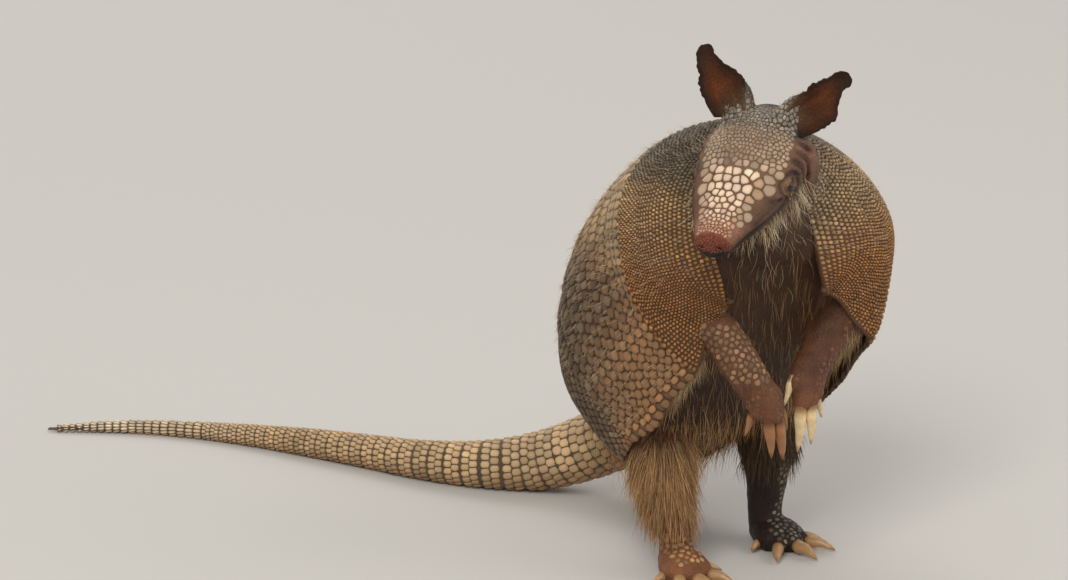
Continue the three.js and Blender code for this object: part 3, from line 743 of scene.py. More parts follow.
class ArmadilloColours(bpy.types.PropertyGroup):
    tan: shade_property("Carapace Tan", "Scutes of the flanks", (0.60, 0.44, 0.29))
    bead: shade_property("Bead", "Beads of the shoulder shield", (0.72, 0.58, 0.40))
    rust: shade_property("Rust", "Warm stain low on the shoulder shield", (0.60, 0.39, 0.20))
    slate: shade_property("Slate", "Dark scutes over the neck", (0.36, 0.34, 0.30))
    olive: shade_property("Olive", "Dull scutes along the back", (0.30, 0.225, 0.135))
    ground: shade_property("Ground", "Horny ground between the scutes", (0.32, 0.22, 0.14))
    cream: shade_property("Cream", "Large scutes on the bridge of the snout", (0.93, 0.82, 0.71))
    brow: shade_property("Brow", "Scutes of the forehead", (0.68, 0.59, 0.49))
    face: shade_property("Face", "Bare skin of the face", (0.42, 0.30, 0.23))
    nose: shade_property("Nose", "Nose pad", (0.62, 0.30, 0.19))
    belly: shade_property("Belly", "Skin of the chest and belly", (0.27, 0.18, 0.11))
    limb: shade_property("Limb", "Skin of the arms and legs", (0.38, 0.24, 0.16))
    ankle: shade_property("Ankle", "Warm skin of the right foot", (0.50, 0.32, 0.21))
    tail: shade_property("Tail", "Rings of the tail", (0.79, 0.67, 0.51))
    ear: shade_property("Ear", "Leather of the ears", (0.19, 0.115, 0.07))
    claw: shade_property("Claw", "Horn of the claws", (0.88, 0.78, 0.60))
    straw: shade_property("Straw", "Pale hair", (0.98, 0.82, 0.67))
    hair: shade_property("Hair", "Hair of the legs and belly", (0.74, 0.58, 0.40))


SHADES = {  # laid over the colours of the settings
    "pale_tan": (0.67, 0.57, 0.43), "lobe": (0.72, 0.64, 0.52), "worn": (0.62, 0.58, 0.50),
    "freckle": (0.52, 0.41, 0.31), "blotch": (0.25, 0.18, 0.14), "lip": (0.20, 0.14, 0.12),
    "forehead": (0.50, 0.37, 0.27), "nape": (0.30, 0.27, 0.24), "bridge": (0.58, 0.40, 0.32),
    # painted light on the folds: a pale ridge as painted highlight, then two dark shades as painted shade in
    # the creases
    "fold_edge": (0.60, 0.42, 0.34), "fold_side": (0.22, 0.15, 0.12), "fold_deep": (0.14, 0.10, 0.09),
    "chin": (0.30, 0.21, 0.18), "nose_under": (0.16, 0.11, 0.09), "nose_over": (0.38, 0.20, 0.14),
    # the second of these three is painted shade in the wrinkle round the lids
    "lid": (0.55, 0.43, 0.33), "lid_fold": (0.22, 0.16, 0.13), "lid_edge": (0.08, 0.06, 0.05),
    "snout_side": (0.66, 0.52, 0.40), "snout_tip": (0.76, 0.56, 0.45), "plum": (0.50, 0.41, 0.36),
    "crown": (0.52, 0.49, 0.45), "crown_pale": (0.74, 0.70, 0.64),
    "tail_far": (0.92, 0.85, 0.75), "tail_under": (0.55, 0.40, 0.27),
    # the last of these is the foot scutes' colour darkened and greyed as painted shade for the left foot
    "arm_scute": (0.56, 0.44, 0.31), "foot_scute": (0.70, 0.54, 0.37), "foot_dull": (0.46, 0.41, 0.36),
    "ear_root": (0.50, 0.41, 0.31), "wart": (0.66, 0.53, 0.33),
    "ear_warm": (0.42, 0.21, 0.09), "ear_base": (0.46, 0.37, 0.26),
    "eyeball": (0.10, 0.07, 0.05), "iris": (0.07, 0.04, 0.03), "pupil": (0.01, 0.01, 0.01),
    "claw_brown": (0.54, 0.33, 0.17),
}
LIMB_STRENGTHS = {  # each region's share of the colour of the limbs
    "arm_left": 1, "arm_right": 1.05, "hand_left": 1.25, "hand_right": 1.3,
    # painted shade: the left leg and foot, on the side away from the key light, get a much darker copy of
    # the limbs' colour
    "leg_left": (0.42, 0.42, 0.36), "foot_left": (0.42, 0.40, 0.34),
}


def colour(name):
    """A colour of the settings, or one of the fixed shades."""
    return np.array(SHADES.get(name) or getattr(bpy.context.scene.armadillo_colours, name))


def size(name):
    return getattr(bpy.context.scene.armadillo_sizes, name) / MM


MADE = {}


class MaterialsOperator(bpy.types.Operator):
    """Makes the node groups and the materials"""

    bl_idname = "armadillo.materials"
    bl_label = "Materials"

    def execute(self, context):
        groups = {"mottling": mottling_group(), "leather": leather_group()}
        for name, look in MATERIAL_LOOKS.items():
            MATERIALS[name] = tinted_material(name, groups, **look)
        return {"FINISHED"}


# ---------------------------------------------------------------- carapace
GROUND_DEPTH = 0.9  # how far the ground lies under the scutes' tops
GROUND_THICK = PLATE - 1.4  # leaves the skin some room under the plate
SHIELD_RISE = 2.2  # how far the shoulder shield's rear edge stands over the first band
SHELL_LOOKS = {
    "scapular_shield": {"rise": 1.0, "gap": 0.45, "rounding": 0.45, "tilt": 0.15, "sides": 8},
    "pelvic_shield": {"rise": 0.8, "gap": 0.35, "rounding": 0.2, "tilt": 0.15},
}
BAND_LOOK = {"rise": 0.85, "gap": 0.35, "rounding": 0.2, "tilt": 0.3}


def scapular_rear(share):
    return SCAPULAR_REAR + SCAPULAR_NOTCH * fall(np.abs(share), 0.5, 0.95)


def scapular_front(share):
    return SCAPULAR_FRONT - 0.9 * np.abs(share) ** 12


def pelvic_rear(share):
    return PELVIC_REAR + (PELVIC_CORNER - PELVIC_REAR) * np.abs(share) ** 3


def seam(index):
    """The line between two bands, counted from the shoulder shield."""
    return lambda share: scapular_rear(share) + (PELVIC_FRONT - scapular_rear(share)) * (index / BAND_COUNT)


def plate_ends():
    """Each plate with its rear and front end at a share of the way to the side edge, and its rear rise."""
    ends = {
        "scapular_shield": (seam(0), scapular_front, SHIELD_RISE),
        "pelvic_shield": (pelvic_rear, seam(BAND_COUNT), 0.0),
    }
    for band in range(1, BAND_COUNT + 1):
        ends[f"band_{band}"] = (seam(band), seam(band - 1), BAND_RISE)
    return ends


def plate_point(ends, share, up, lift):
    """Points on a plate: share of the way to the side edge, up from its rear (0) to its front (1)."""
    rear, front, rise = ends
    place = rear(share) + (front(share) - rear(share)) * up
    return place, lift + rise * (1 - up)


class ShellOperator(bpy.types.Operator):
    """Makes the horny ground of each plate of the carapace"""

    bl_idname = "armadillo.shell"
    bl_label = "Carapace Plates"

    def execute(self, context):
        for name, ends in plate_ends().items():
            rows = {"scapular_shield": 22, "pelvic_shield": 16}.get(name, 3)
            piece = new_grid(f"{name}_plate", 90, rows)
            flat = coords(piece)
            share, up = flat[:, 0], (flat[:, 1] + 1) / 2
            place, lift = plate_point(ends, share, up, -GROUND_DEPTH)
            at = shell_place(place, share, lift)
            set_coords(piece, row(at))
            paint(piece, shell_ground(place, share, at))
            apply_modifier(piece, "SOLIDIFY", thickness=GROUND_THICK * MM, offset=1.0)
            face_outwards(piece)
            apply_modifier(piece, "BEVEL", width=0.5 * MM, segments=2, limit_method="ANGLE")
            smooth(piece, 50)
            dress(piece, "ground", "carapace", name)
            MADE[name] = piece
        return {"FINISHED"}


def shell_stain(place, share, at):
    """The carapace's colour at a place, before each scute's own change."""
    turn = np.degrees(np.abs(shell_turn(place, share)))
    border, height = place - scapular_rear(share), at[:, 2] + 6 * ripple(at, 16, 3.0)
    bands = layered(colour("tan"), (
        ("pale_tan", step(height, 178, 226)),
        ("olive", fall(turn, 84, 116) * fall(height, 160, 210) * 0.9),
        ("olive", fall(turn, 104, 126) * fall(place, 1.6, 3.0) * 0.85),
    ))
    shield = layered(colour("bead"), (
        ("rust", fall(height, 190, 236) * 0.85),
        ("slate", step(height, 232, 258) * 0.9),
        ("lobe", step(share, 0.2, 0.5) * step(height, 192, 244) * 0.8),
    ))
    base = mix(bands, shield, step(border, -0.03, -0.005))
    return base * (1 + 0.06 * ripple(at, 18, 5.0))[:, None]


def shell_ground(place, share, at):
    """The colour of the horny ground, between the scutes' own stain and the ground's."""
    return mix(colour("ground") * 0.85, shell_stain(place, share, at), 0.25)


class ShellScutesOperator(bpy.types.Operator):
    """Makes the scutes of the carapace, plate by plate"""

    bl_idname = "armadillo.shell_scutes"
    bl_label = "Carapace Scutes"

    def execute(self, context):
        for name, ends in plate_ends().items():
            place, share, reach = self.places(name, ends)
            rear, front, rise = ends
            up = (place - rear(share)) / np.maximum(front(share) - rear(share), 1e-6)
            _at, normal, toward_rear = shell_frames(place, share, 0)
            at = shell_place(place, share, rise * (1 - up) - GROUND_DEPTH + 0.1)
            rng = np.random.default_rng(SEED + len(place))
            stain = shell_stain(place, share, at)
            spread = rng.normal(size=(len(place), 1))
            pale = rng.random(len(place)) ** 3
            slate = np.clip(1 - np.abs(stain.mean(1) - 0.3) * 6, 0, 1)
            tint = layered(np.clip(stain * (1 + 0.09 * spread), 0, 1), (("worn", pale * slate * 0.7),))
            look = SHELL_LOOKS.get(name, BAND_LOOK)
            piece = scutes(f"{name}_scutes", at, normal, toward_rear, reach, tint, **look)
            dress(piece, "scute", "carapace")
        return {"FINISHED"}

    def places(self, name, ends):
        """Where a plate's scutes sit, and how far each may reach."""
        rear, front, _rise = ends
        if name == "scapular_shield":
            levels = [0.018, *np.linspace(0.06, 0.985, 27)]
            counts = [92, *np.interp(levels[1:], (0.4, 1.0), (140, 104))]
            pitch = size("bead_pitch")
        elif name == "pelvic_shield":
            levels, counts, pitch = (np.arange(10) + 0.5) / 10, [56] * 10, size("pelvic_pitch")
        else:
            levels, counts, pitch = (0.27, 0.78), (66, 66), size("band_pitch")
        rng = np.random.default_rng(SEED)
        place, share, reach = [], [], []
        for k, (up, count) in enumerate(zip(levels, counts)):
            count = round(count)
            x = (np.arange(count) + (0.5 if k % 2 else 0.0) + 0.25) / count * 2 - 1
            x = x * (1.12 - 0.12 * x**2)
            x = np.clip(x, -0.988, 0.988) + rng.normal(size=count) * 0.0012
            jitter = rng.normal(size=count) * 0.05 / len(levels)
            place.append(rear(x) + (front(x) - rear(x)) * np.clip(up + jitter, 0.01, 0.99))
            share.append(x)
            length = np.linalg.norm(shell_place(front(x), x, 0) - shell_place(rear(x), x, 0), axis=1)
            reach.append(np.maximum(pitch, length * 0.62 / len(levels)))
        return np.concatenate(place), np.concatenate(share), np.concatenate(reach)


# ---------------------------------------------------------------- skin
def between(a, b, share):
    return np.array(a, float) + (np.array(b, float) - np.array(a, float)) * share


def ear_frame(side):
    base = from_head(mirrored(EAR_BASE, side))
    along = unit(np.array(EAR_TOWARD[side], float))
    front = np.array(EAR_FRONT)
    front = unit(front - along * (along @ front))
    return base, along, front, np.cross(along, front)


def skin_parts():
    """The lofts that the skin is drawn over, each with the region it belongs to."""
    under = PLATE + UNDER_PLATE
    trunk = [(s[0], s[1] - under, s[2] - under, s[6] - 1) for s in TRUNK]
    yield "body", wrapped("trunk_form", trunk, 64, 80, TRUNK_TOP, True, (0.8, 0.4), fullness=TRUNK_FULLNESS)
    for side in (-1, 1):
        middle = shell_place(np.linspace(0.9, 5.1, 9), 0.965 * side, -under - FLANK_RADIUS + 1)
        yield "flank", wrapped("flank_form", [(p, FLANK_RADIUS) for p in middle], 20, 50, TRUNK_TOP)
    neck = ((TRUNK[8][0], 31, 31, 26), (TRUNK[9][0], 26, 30, 24), ((-3, -32, 246), 25, 17, 22),
            (from_head((0, -3, 5)), 22, 13, 18))
    yield "neck", wrapped("neck_form", neck, 40, 40, TRUNK_TOP)
    yield "head", wrapped("skull_form", SKULL, 64, 90, (0, 1, 0), cap=(0.6, 0.35), frame_of=from_head)
    yield "head", wrapped("jaw_form", JAW, 32, 40, (0, 1, 0), frame_of=from_head)
    for side in ("left", "right"):
        lid = mirrored((EYE_PLACE[0] - 2.2, *EYE_PLACE[1:]), side)
        lids = ((lid - (0.1, 0, 0), 6.6), (lid + (0.1, 0, 0), 6.6))
        yield "head", wrapped("lid_form", lids, 24, 24, (0, 1, 0), cap=(1, 1), frame_of=from_head)
        base, along, front, across = ear_frame(side)
        stalk = ((base - along * 6 - front * 2, 8), (base + along * 4 - front * 2.5, 7, 5, 5),
                 (base + along * 10 - front, 5, 2.4, 2.4))
        yield "head", wrapped("stalk_form", stalk, 24, 24, front)
        inner = across * (1 if side == "right" else -1)
        fold = ((base + inner * 6, 7), (base + inner * 9 + along * 8, 5.6, 4.4, 4.4),
                (base + inner * 11 + along * 15, 4.2, 3, 3),
                (base + inner * 11.5 + along * 23, 1.6, 1.3, 1.3))
        yield "head", wrapped("ear_fold_form", fold, 20, 24, front)
        ruff = [(mirrored(spot, side), r) for spot, r in RUFF]
        yield "head", wrapped("ruff_form", ruff, 24, 24, (0, 0, 1), frame_of=from_head)
        arm = ARMS[side]
        yield f"arm_{side}", wrapped("arm_form", arm["line"], 32, 60, (0, -1, 0.3), cap=(0.5, 0.6))
        for root, _tip, r in arm["claws"]:
            yield f"hand_{side}", toe(arm["line"][5][0], root, r)
        leg = LEGS[side]
        coat = size("coat_depth") if side == "right" else 0.5 * size("coat_depth")
        line = [(s[0], s[1] - coat * max(0.15, min(1, (s[0][2] - 15) / 35))) for s in leg["line"]]
        yield f"leg_{side}", wrapped("leg_form", line, 40, 60, (0, -1, 0), cap=(0.7, 0.9))
        heel, foot = leg["line"][4][0], leg["foot"]
        sole = (((heel[0], heel[1] + 2, 8.5), 10.5, 9, 11), (between(heel, foot, 0.7), 15, 9.5, 12.5),
                ((foot[0], foot[1] - 4, 6.5), 16, 8, 9.5))
        yield f"foot_{side}", wrapped("sole_form", sole, 32, 32, cap=(0.8, 0.6))
        for root, _tip, r in leg["claws"]:
            yield f"foot_{side}", toe(foot, root, r)
    yield "tail", wrapped("tail_form", [(s[0], s[1] - 0.9) for s in TAIL], 40, 140, cap=(0.5, 1.5))


def toe(start, root, r):
    stations = ((between(start, root, 0.15), r + 3.4), (between(start, root, 0.7), r + 2.1),
                (between(start, root, 1.0), r + 1.1))
    return wrapped("toe_form", stations, 20, 24, (0.1, 0.05, 1), cap=(0.3, 0.45))


def line_distance(points, path):
    """How far each point is from a path of straight lengths."""
    best = np.full(len(points), 1e3)
    for a, b in zip(path[:-1], path[1:]):
        a, b = np.array(a, float), np.array(b, float)
        t = np.clip((points - a) @ (b - a) / ((b - a) @ (b - a)), 0, 1)
        best = np.minimum(best, np.linalg.norm(points - a - t[:, None] * (b - a), axis=1))
    return best


MOUTH = ((0, -5, 96), (8, -4.2, 92), (12.4, -4, 84), (18, -3.8, 72), (22.6, -4, 58), (26.8, -3.6, 47),
         (29.2, -3, 41))
FOLDS = (  # path on the left side of the head, depth and width
    (MOUTH, 1.7, 1.2),
    (((26, -9, 52), (29, -8, 42), (30, -6, 34), (30, -3, 27)), 1.0, 1.2),
    (((30, 10, 25), (32, 2, 22), (31, -8, 24), (27, -16, 30)), 1.9, 1.5),
    (((30, 12, 18), (32, 2, 15), (31, -9, 17), (26, -18, 22)), 2.0, 1.5),
    (((29, 12, 11), (31, 2, 8), (30, -9, 9), (25, -18, 14)), 1.9, 1.5),
    (((24, 13, 44), (28, 9.5, 38), (30, 7, 31), (31, 1, 27)), 0.8, 1.0),
    (((18.5, -0.5, 70), (23, 0, 58), (27, 0, 48)), 0.8, 0.9),
    (((24, 3, 54), (27, 0, 48), (29, -2, 42)), 0.7, 0.9),
    (((17, -9, 76), (22, -11, 60), (27, -11, 46), (30, -10, 34)), 0.9, 1.1),
    (((15, -13, 74), (20, -15, 58), (25, -16, 44)), 0.8, 1.1),
    (((28, 11, 46), (31, 6, 42), (32, 0, 40)), 0.5, 0.7),
    (((30, 9, 34), (32, 4, 29), (32, -3, 31)), 0.9, 0.9),
)


def eye_opening(half):
    """How far round the eye each point of the head's left half is: 1 on the edge of the lids."""
    dy, dz = half[:, 1] - EYE_PLACE[1], half[:, 2] - EYE_PLACE[2]
    cos, sin = math.cos(EYE_TILT), math.sin(EYE_TILT)
    return np.hypot((dz * cos + dy * sin) / EYE_OPENING[0], (dy * cos - dz * sin) / EYE_OPENING[1])


def hump(value, middle, width):
    """A smooth rise to 1 at the middle and down again."""
    return np.exp(-(((value - middle) / width) ** 2))


def sculpt_head(points, normal):
    """Folds, lids, lips and nostrils, as moves of the skin's points in the head's frame."""
    h, n = to_head(points), normal @ HEAD_AXES.T
    side = np.where(h[:, 0] >= 0, 1.0, -1.0)
    flip = np.stack([side, np.ones_like(side), np.ones_like(side)], 1)
    half, move = h * flip, np.zeros(len(h))
    for path, depth, width in FOLDS:
        apart = line_distance(half, path) / width
        move += depth * (0.35 * hump(apart, 2.2, 1) - hump(apart, 0, 1))
    half = (h + n * move[:, None]) * flip
    dy, dz = half[:, 1] - EYE_PLACE[1], half[:, 2] - EYE_PLACE[2]
    e = eye_opening(half)
    near = (half[:, 0] > EYE_INNERMOST) & (np.hypot(dz, dy) < 14)
    ball = EYE_PLACE[0] + np.sqrt(np.maximum(EYE_RADIUS**2 - dz**2 - dy**2, 0.0))
    inside, rim = fall(e, 0.88, 1.12), step(e, 0.88, 1.15) * fall(e, 1.5, 2.1)
    x = half[:, 0]
    lids = x + (ball - 1.3 - x) * inside + (ball + 0.3 - x) * rim * 0.9
    rings = hump(e, 1.95, 0.16) + 0.8 * hump(e, 2.7, 0.2)
    half[:, 0] = np.where(near, lids - 0.45 * rings, x)
    d = np.linalg.norm((half - NOSTRIL) * (1, 1.25, 0.6), axis=1)
    half[:, 2] -= 2.6 * hump(d, 0, 1.9)
    bulge = np.clip(1 - (half[:, 0] ** 2 + half[:, 1] ** 2) / 90, 0, 1)
    half[:, 2] += 1.6 * bulge * step(half[:, 2], 88, 92)
    return from_head(half * flip)


def face_tint(points):
    """The colour of the head's skin at each point, in own millimetres."""
    h = to_head(points)
    half, up, ahead = folded(h), h[:, 1], h[:, 2]
    crown = step(up, 2, 10) * fall(ahead, 66, 80)
    layers = [
        ("freckle", np.clip(ripple(points, 5, 1.0), 0, 1) * 0.55),
        ("blotch", np.clip(ripple(points, 3.2, 6.0), 0, 1) * 0.55),
        ("lip", hump(line_distance(half, MOUTH), 0, 3.2) * step(95 - ahead, 0, 12) * 0.85),
        ("forehead", crown * 0.9),
        ("nape", crown * fall(ahead, 6, 16)),
        ("bridge", step(ahead, 68, 80) * step(up, -3, 3) * 0.8),
    ]
    # painted light on the folds: the creases are painted dark as painted shade, and the ridges beside the
    # deepest folds are painted pale as painted highlight
    for path, depth, width in FOLDS:
        apart = line_distance(half, path) / width
        layers += [
            ("fold_edge", hump(apart, 1.9, 1) * 0.5 * (depth > 1.8)),
            ("fold_side", hump(apart, 0, 1.8) * 0.5),
            ("fold_deep", hump(apart, 0, 1) * 0.85),
        ]
    layers.append(("chin", fall(up, -12, -7) * step(ahead, 40, 84) * 0.8))
    pad = mix(colour("nose_under"), colour("nose_over"), step(up, -1.5, 1.5))
    eye = eye_opening(half) + 9 * (half[:, 0] < EYE_INNERMOST)
    return layered(mix(layered(colour("face"), layers), pad, step(ahead, 88.0, 91.0)), (
        ("lid", hump(eye, 1.9, 0.35) * 0.6),
        # painted shade in the wrinkle round the lids
        ("lid_fold", hump(eye, 2.7, 0.3) * 0.6),
        ("lid_edge", fall(eye, 1.1, 1.4)),
    ))


REGION_BLEND = 2.5  # millimetres over which two regions of the skin blend


def nearest_shares(points, clouds):
    """Each region's share at each point, from how near the region's lofts are."""
    names = list(clouds)
    far = np.empty((len(points), len(names)))
    for k, name in enumerate(names):
        tree = KDTree(len(clouds[name]))
        for i, p in enumerate(clouds[name]):
            tree.insert(p, i)
        tree.balance()
        far[:, k] = [tree.find(p)[2] for p in points]
    far = far / MM
    share = np.exp(-(far - far.min(axis=1, keepdims=True)) / REGION_BLEND)
    share /= share.sum(axis=1, keepdims=True)
    return {name: share[:, k] for k, name in enumerate(names)}


def skin_tint(points, share):
    """The skin's colour at each point, in own millimetres."""
    z = points[:, 2]
    tints = {
        "head": face_tint(points),
        "neck": mix(colour("face") * 0.85, colour("belly"), fall(z, 215, 250)),
        "body": mix(colour("belly"), colour("belly") * 0.75, step(z, 150, 90)),
        "flank": mix(colour("tan") * 0.85, colour("belly"), 0.2),
        "tail": colour("tail") * 0.5,
        "leg_right": mix(colour("limb"), colour("ankle"), fall(z, 20, 60)),
        "foot_right": colour("ankle"),
    }
    for name, strength in LIMB_STRENGTHS.items():
        tints[name] = colour("limb") * strength
    total = sum(tints[name] * share[name][:, None] for name in share)
    patchy = 1 + 0.12 * ripple(points, 11, 3.0) + 0.08 * ripple(points, 3.1, 7.0)
    return np.clip(total * patchy[:, None], 0, 1)


COVER_LOWEST = 40  # no skin below this height, in millimetres, is covered by a plate
COVER_REACH = 0.016  # metres over the skin in which a plate covers it
EYE_REFINED, MOUTH_REFINED = 13, 4  # millimetres round each that get smaller faces


class SkinOperator(bpy.types.Operator):
    """Makes the one skin of the body, with its folds, lids and lips"""

    bl_idname = "armadillo.skin"
    bl_label = "Skin"

    def execute(self, context):
        clouds, parts = {}, []
        for region, piece in skin_parts():
            clouds.setdefault(region, []).append(coords(piece))
            parts.append(piece)
        clouds = {name: np.concatenate(found) for name, found in clouds.items()}
        skin = activate(*parts)
        bpy.ops.object.join()
        skin.name = skin.data.name = "skin"
        face_outwards(skin)
        voxel = size("skin_voxel") * MM
        apply_modifier(skin, "REMESH", mode="VOXEL", voxel_size=voxel, use_smooth_shade=True)
        apply_modifier(skin, "SMOOTH", factor=0.5, iterations=5)
        self.refine(skin)
        points = own(coords(skin))
        share = nearest_shares(row(points), clouds)
        rough = 0.25 * ripple(points, 2.6, 4.0) * (1 - share["head"])
        points = points + normals(skin) * rough[:, None]
        shaped = sculpt_head(points, normals(skin))
        points = points + (shaped - points) * step(share["head"] + share["neck"], 0.35, 0.7)[:, None]
        points[:, 2] = np.maximum(points[:, 2], SKIN_FLOOR)
        set_coords(skin, row(points))
        for name, values in share.items():
            mark(skin, name, values)
        paint(skin, skin_tint(points, share))
        hidden = self.under_shell(skin, points)
        mark(skin, "bare", 1.0 - hidden)
        MADE["skin"] = dress(skin, "skin", "limb_skin", *FLESH)
        return {"FINISHED"}

    def refine(self, skin):
        """Smaller faces round the eyes, the nose and the mouth."""
        activate(skin)
        mesh = skin.data
        middle = np.empty(len(mesh.polygons) * 3)
        mesh.polygons.foreach_get("center", middle)
        half = folded(to_head(own(middle.reshape(-1, 3))))
        chosen = np.linalg.norm(half - EYE_PLACE, axis=1) < EYE_REFINED
        chosen |= line_distance(half, MOUTH) < MOUTH_REFINED
        chosen |= (half[:, 2] > 80) & (half[:, 0] < 18) & (np.abs(half[:, 1]) < 18)
        for kind in (mesh.vertices, mesh.edges):
            kind.foreach_set("select", np.zeros(len(kind), bool))
        mesh.polygons.foreach_set("select", chosen)
        bpy.ops.object.mode_set(mode="EDIT")
        bpy.context.tool_settings.mesh_select_mode = (False, False, True)
        bpy.ops.mesh.subdivide(number_cuts=1, smoothness=0.6)
        bpy.ops.object.mode_set(mode="OBJECT")

    def under_shell(self, skin, points):
        """One where the carapace covers the skin."""
        roofs = []
        for name in plate_ends():
            plate = MADE[name].data
            faces = [face.vertices for face in plate.polygons]
            roofs.append(BVHTree.FromPolygons([v.co for v in plate.vertices], faces))
        hidden = np.zeros(len(points))
        for i, (p, n) in enumerate(zip(row(points), normals(skin))):
            if points[i, 2] < COVER_LOWEST:
                continue
            if any(roof.ray_cast(Vector(p), Vector(n), COVER_REACH)[0] is not None for roof in roofs):
                hidden[i] = 1
        return hidden


# ---------------------------------------------------------------- places on the skin
SPREAD_TRIES = 9000


class SkinPlaces:
    """Draws places on the skin, with their normals and the values of its marks."""

    def __init__(self, skin):
        mesh = skin.data
        mesh.calc_loop_triangles()
        corners = np.empty(len(mesh.loop_triangles) * 3, np.int32)
        mesh.loop_triangles.foreach_get("vertices", corners)
        self.corners = corners.reshape(-1, 3)
        self.points, self.normals = own(coords(skin)), normals(skin)
        self.marks = {}
        for attribute in mesh.attributes:
            if attribute.data_type == "FLOAT" and attribute.domain == "POINT":
                values = np.empty(len(mesh.vertices), np.float32)
                attribute.data.foreach_get("value", values)
                self.marks[attribute.name] = values
        a, b, c = (self.points[self.corners[:, k]] for k in range(3))
        self.areas = np.linalg.norm(np.cross(b - a, c - a), axis=1) / 2
        self.roof = BVHTree.FromPolygons([Vector(p) for p in self.points], self.corners.tolist())

    def region(self, *names):
        return sum(self.marks[name] for name in names)

    def draw(self, weight, count, seed):
        """Random places, more of them where the vertex weight is higher."""
        rng = np.random.default_rng(seed)
        chance = self.areas * weight[self.corners].mean(axis=1)
        chosen = rng.choice(len(chance), size=count, p=chance / chance.sum())
        r = np.sqrt(rng.random(count))
        s = rng.random(count)
        shares = np.stack([1 - r, r * (1 - s), r * s], 1)
        corner = self.corners[chosen]
        at = np.einsum("nk,nkd->nd", shares, self.points[corner])
        normal = unit(np.einsum("nk,nkd->nd", shares, self.normals[corner]))
        return at, normal

    def spread(self, weight, apart, seed):
        """Places that keep a distance from each other."""
        at, normal = self.draw(weight, SPREAD_TRIES, seed)
        kept, cells = [], {}
        for i, p in enumerate(at):
            cell = tuple((p // apart).astype(int))
            near = (cells.get((cell[0] + x, cell[1] + y, cell[2] + z), ())
                    for x in (-1, 0, 1) for y in (-1, 0, 1) for z in (-1, 0, 1))
            if all(np.sum((at[j] - p) ** 2) > apart**2 for group in near for j in group):
                kept.append(i)
                cells.setdefault(cell, []).append(i)
        return at[kept], normal[kept]

    def onto(self, start, heading):
        """The last place where rays from inside the skin leave it."""
        at, normal = np.array(start, float), np.array(heading, float)
        for i, (p, d) in enumerate(zip(start, heading)):
            far = Vector(p) + Vector(d) * 60
            hit, face, _index, _distance = self.roof.ray_cast(far, -Vector(d), 60)
            if hit is not None:
                at[i], normal[i] = hit, face
        return at, unit(normal)


def places():
    if "places" not in MADE:
        MADE["places"] = SkinPlaces(MADE["skin"])
    return MADE["places"]


HEAD_PITCH = (  # place along the head and width of its scutes
    (-6, 2.6), (26, 2.8), (34, 3.6), (40, 6.2), (50, 7.0), (60, 6.2), (70, 5.0), (79, 3.4), (90, 2.0),
)


class HeadScutesOperator(bpy.types.Operator):
    """Makes the scutes of the forehead and the snout's bridge"""

    bl_idname = "armadillo.head_scutes"
    bl_label = "Head Scutes"

    def execute(self, context):
        rng = np.random.default_rng(SEED + 2)
        skull = line_of(SKULL, (0, 1, 0))
        depth = np.array([s[0][2] for s in SKULL], float)
        zs, pitches = np.array(HEAD_PITCH).T
        start, heading, pitch_at, z_at, turn_at = [], [], [], [], []
        z, odd = 88.5, 0
        while z > -6:
            pitch = np.interp(z, zs, pitches)
            share = np.interp(z, depth, np.arange(len(depth))) / (len(depth) - 1)
            at, _along, back, left, half = skull(share)
            span = math.radians(np.interp(z, (0, 20, 50, 86), (58, 64, 66, 62)))
            radius = (half[0, 0] + half[0, 1]) / 2
            count = max(4, round(2 * span * radius / pitch))
            turns = ((np.arange(count) + 0.5 + 0.5 * (odd % 2)) / count - 0.5) * 2 * span
            turns = turns + rng.normal(size=count) * 0.17 * pitch / radius
            for turn in turns[np.abs(turns) < span * 1.02]:
                shift = rng.normal() * 0.17 * pitch
                start.append(at[0] + (0, 0, shift))
                heading.append(back[0] * math.cos(turn) + left[0] * math.sin(turn))
                pitch_at.append(pitch)
                z_at.append(z)
                turn_at.append(abs(math.degrees(turn)))
            z -= 0.86 * pitch
            odd += 1
        at, normal = places().onto(from_head(start), np.array(heading) @ HEAD_AXES)
        z_at, turn_at, pitch_at = np.array(z_at), np.array(turn_at), np.array(pitch_at)
        ragged = rng.normal(size=len(z_at))
        pale = step(z_at + 1.5 * ragged, 36, 42) * fall(turn_at + 4 * ragged, 46, 62)
        crown = fall(z_at + 2 * ragged, 4, 16)
        tint = layered(colour("brow"), (
            ("cream", pale),
            ("snout_side", step(turn_at, 34, 58) * pale),
            ("snout_tip", step(z_at, 74, 86) * 0.8),
            ("plum", (1 - pale) * fall(turn_at, 14, 46) * (0.5 + 0.5 * ripple(at, 9, 1.0))),
            ("crown", crown),
            ("crown_pale", (0.55 * crown + 0.2 * (1 - pale)) * rng.random(len(at)) ** 3),
        ))
        tint = np.clip(tint * (1 + 0.05 * rng.normal(size=(len(tint), 1))), 0, 0.97)
        rear = np.tile(-HEAD_Z, (len(at), 1))
        piece = scutes("head_scutes", at, normal, rear, pitch_at * 0.78, tint, rise=0.2 + 0.5 * pale,
                       gap=0.3 + 0.25 * pale, rounding=0.12, sides=12)
        dress(piece, "scute", "head_scutes", "head_shield")
        return {"FINISHED"}


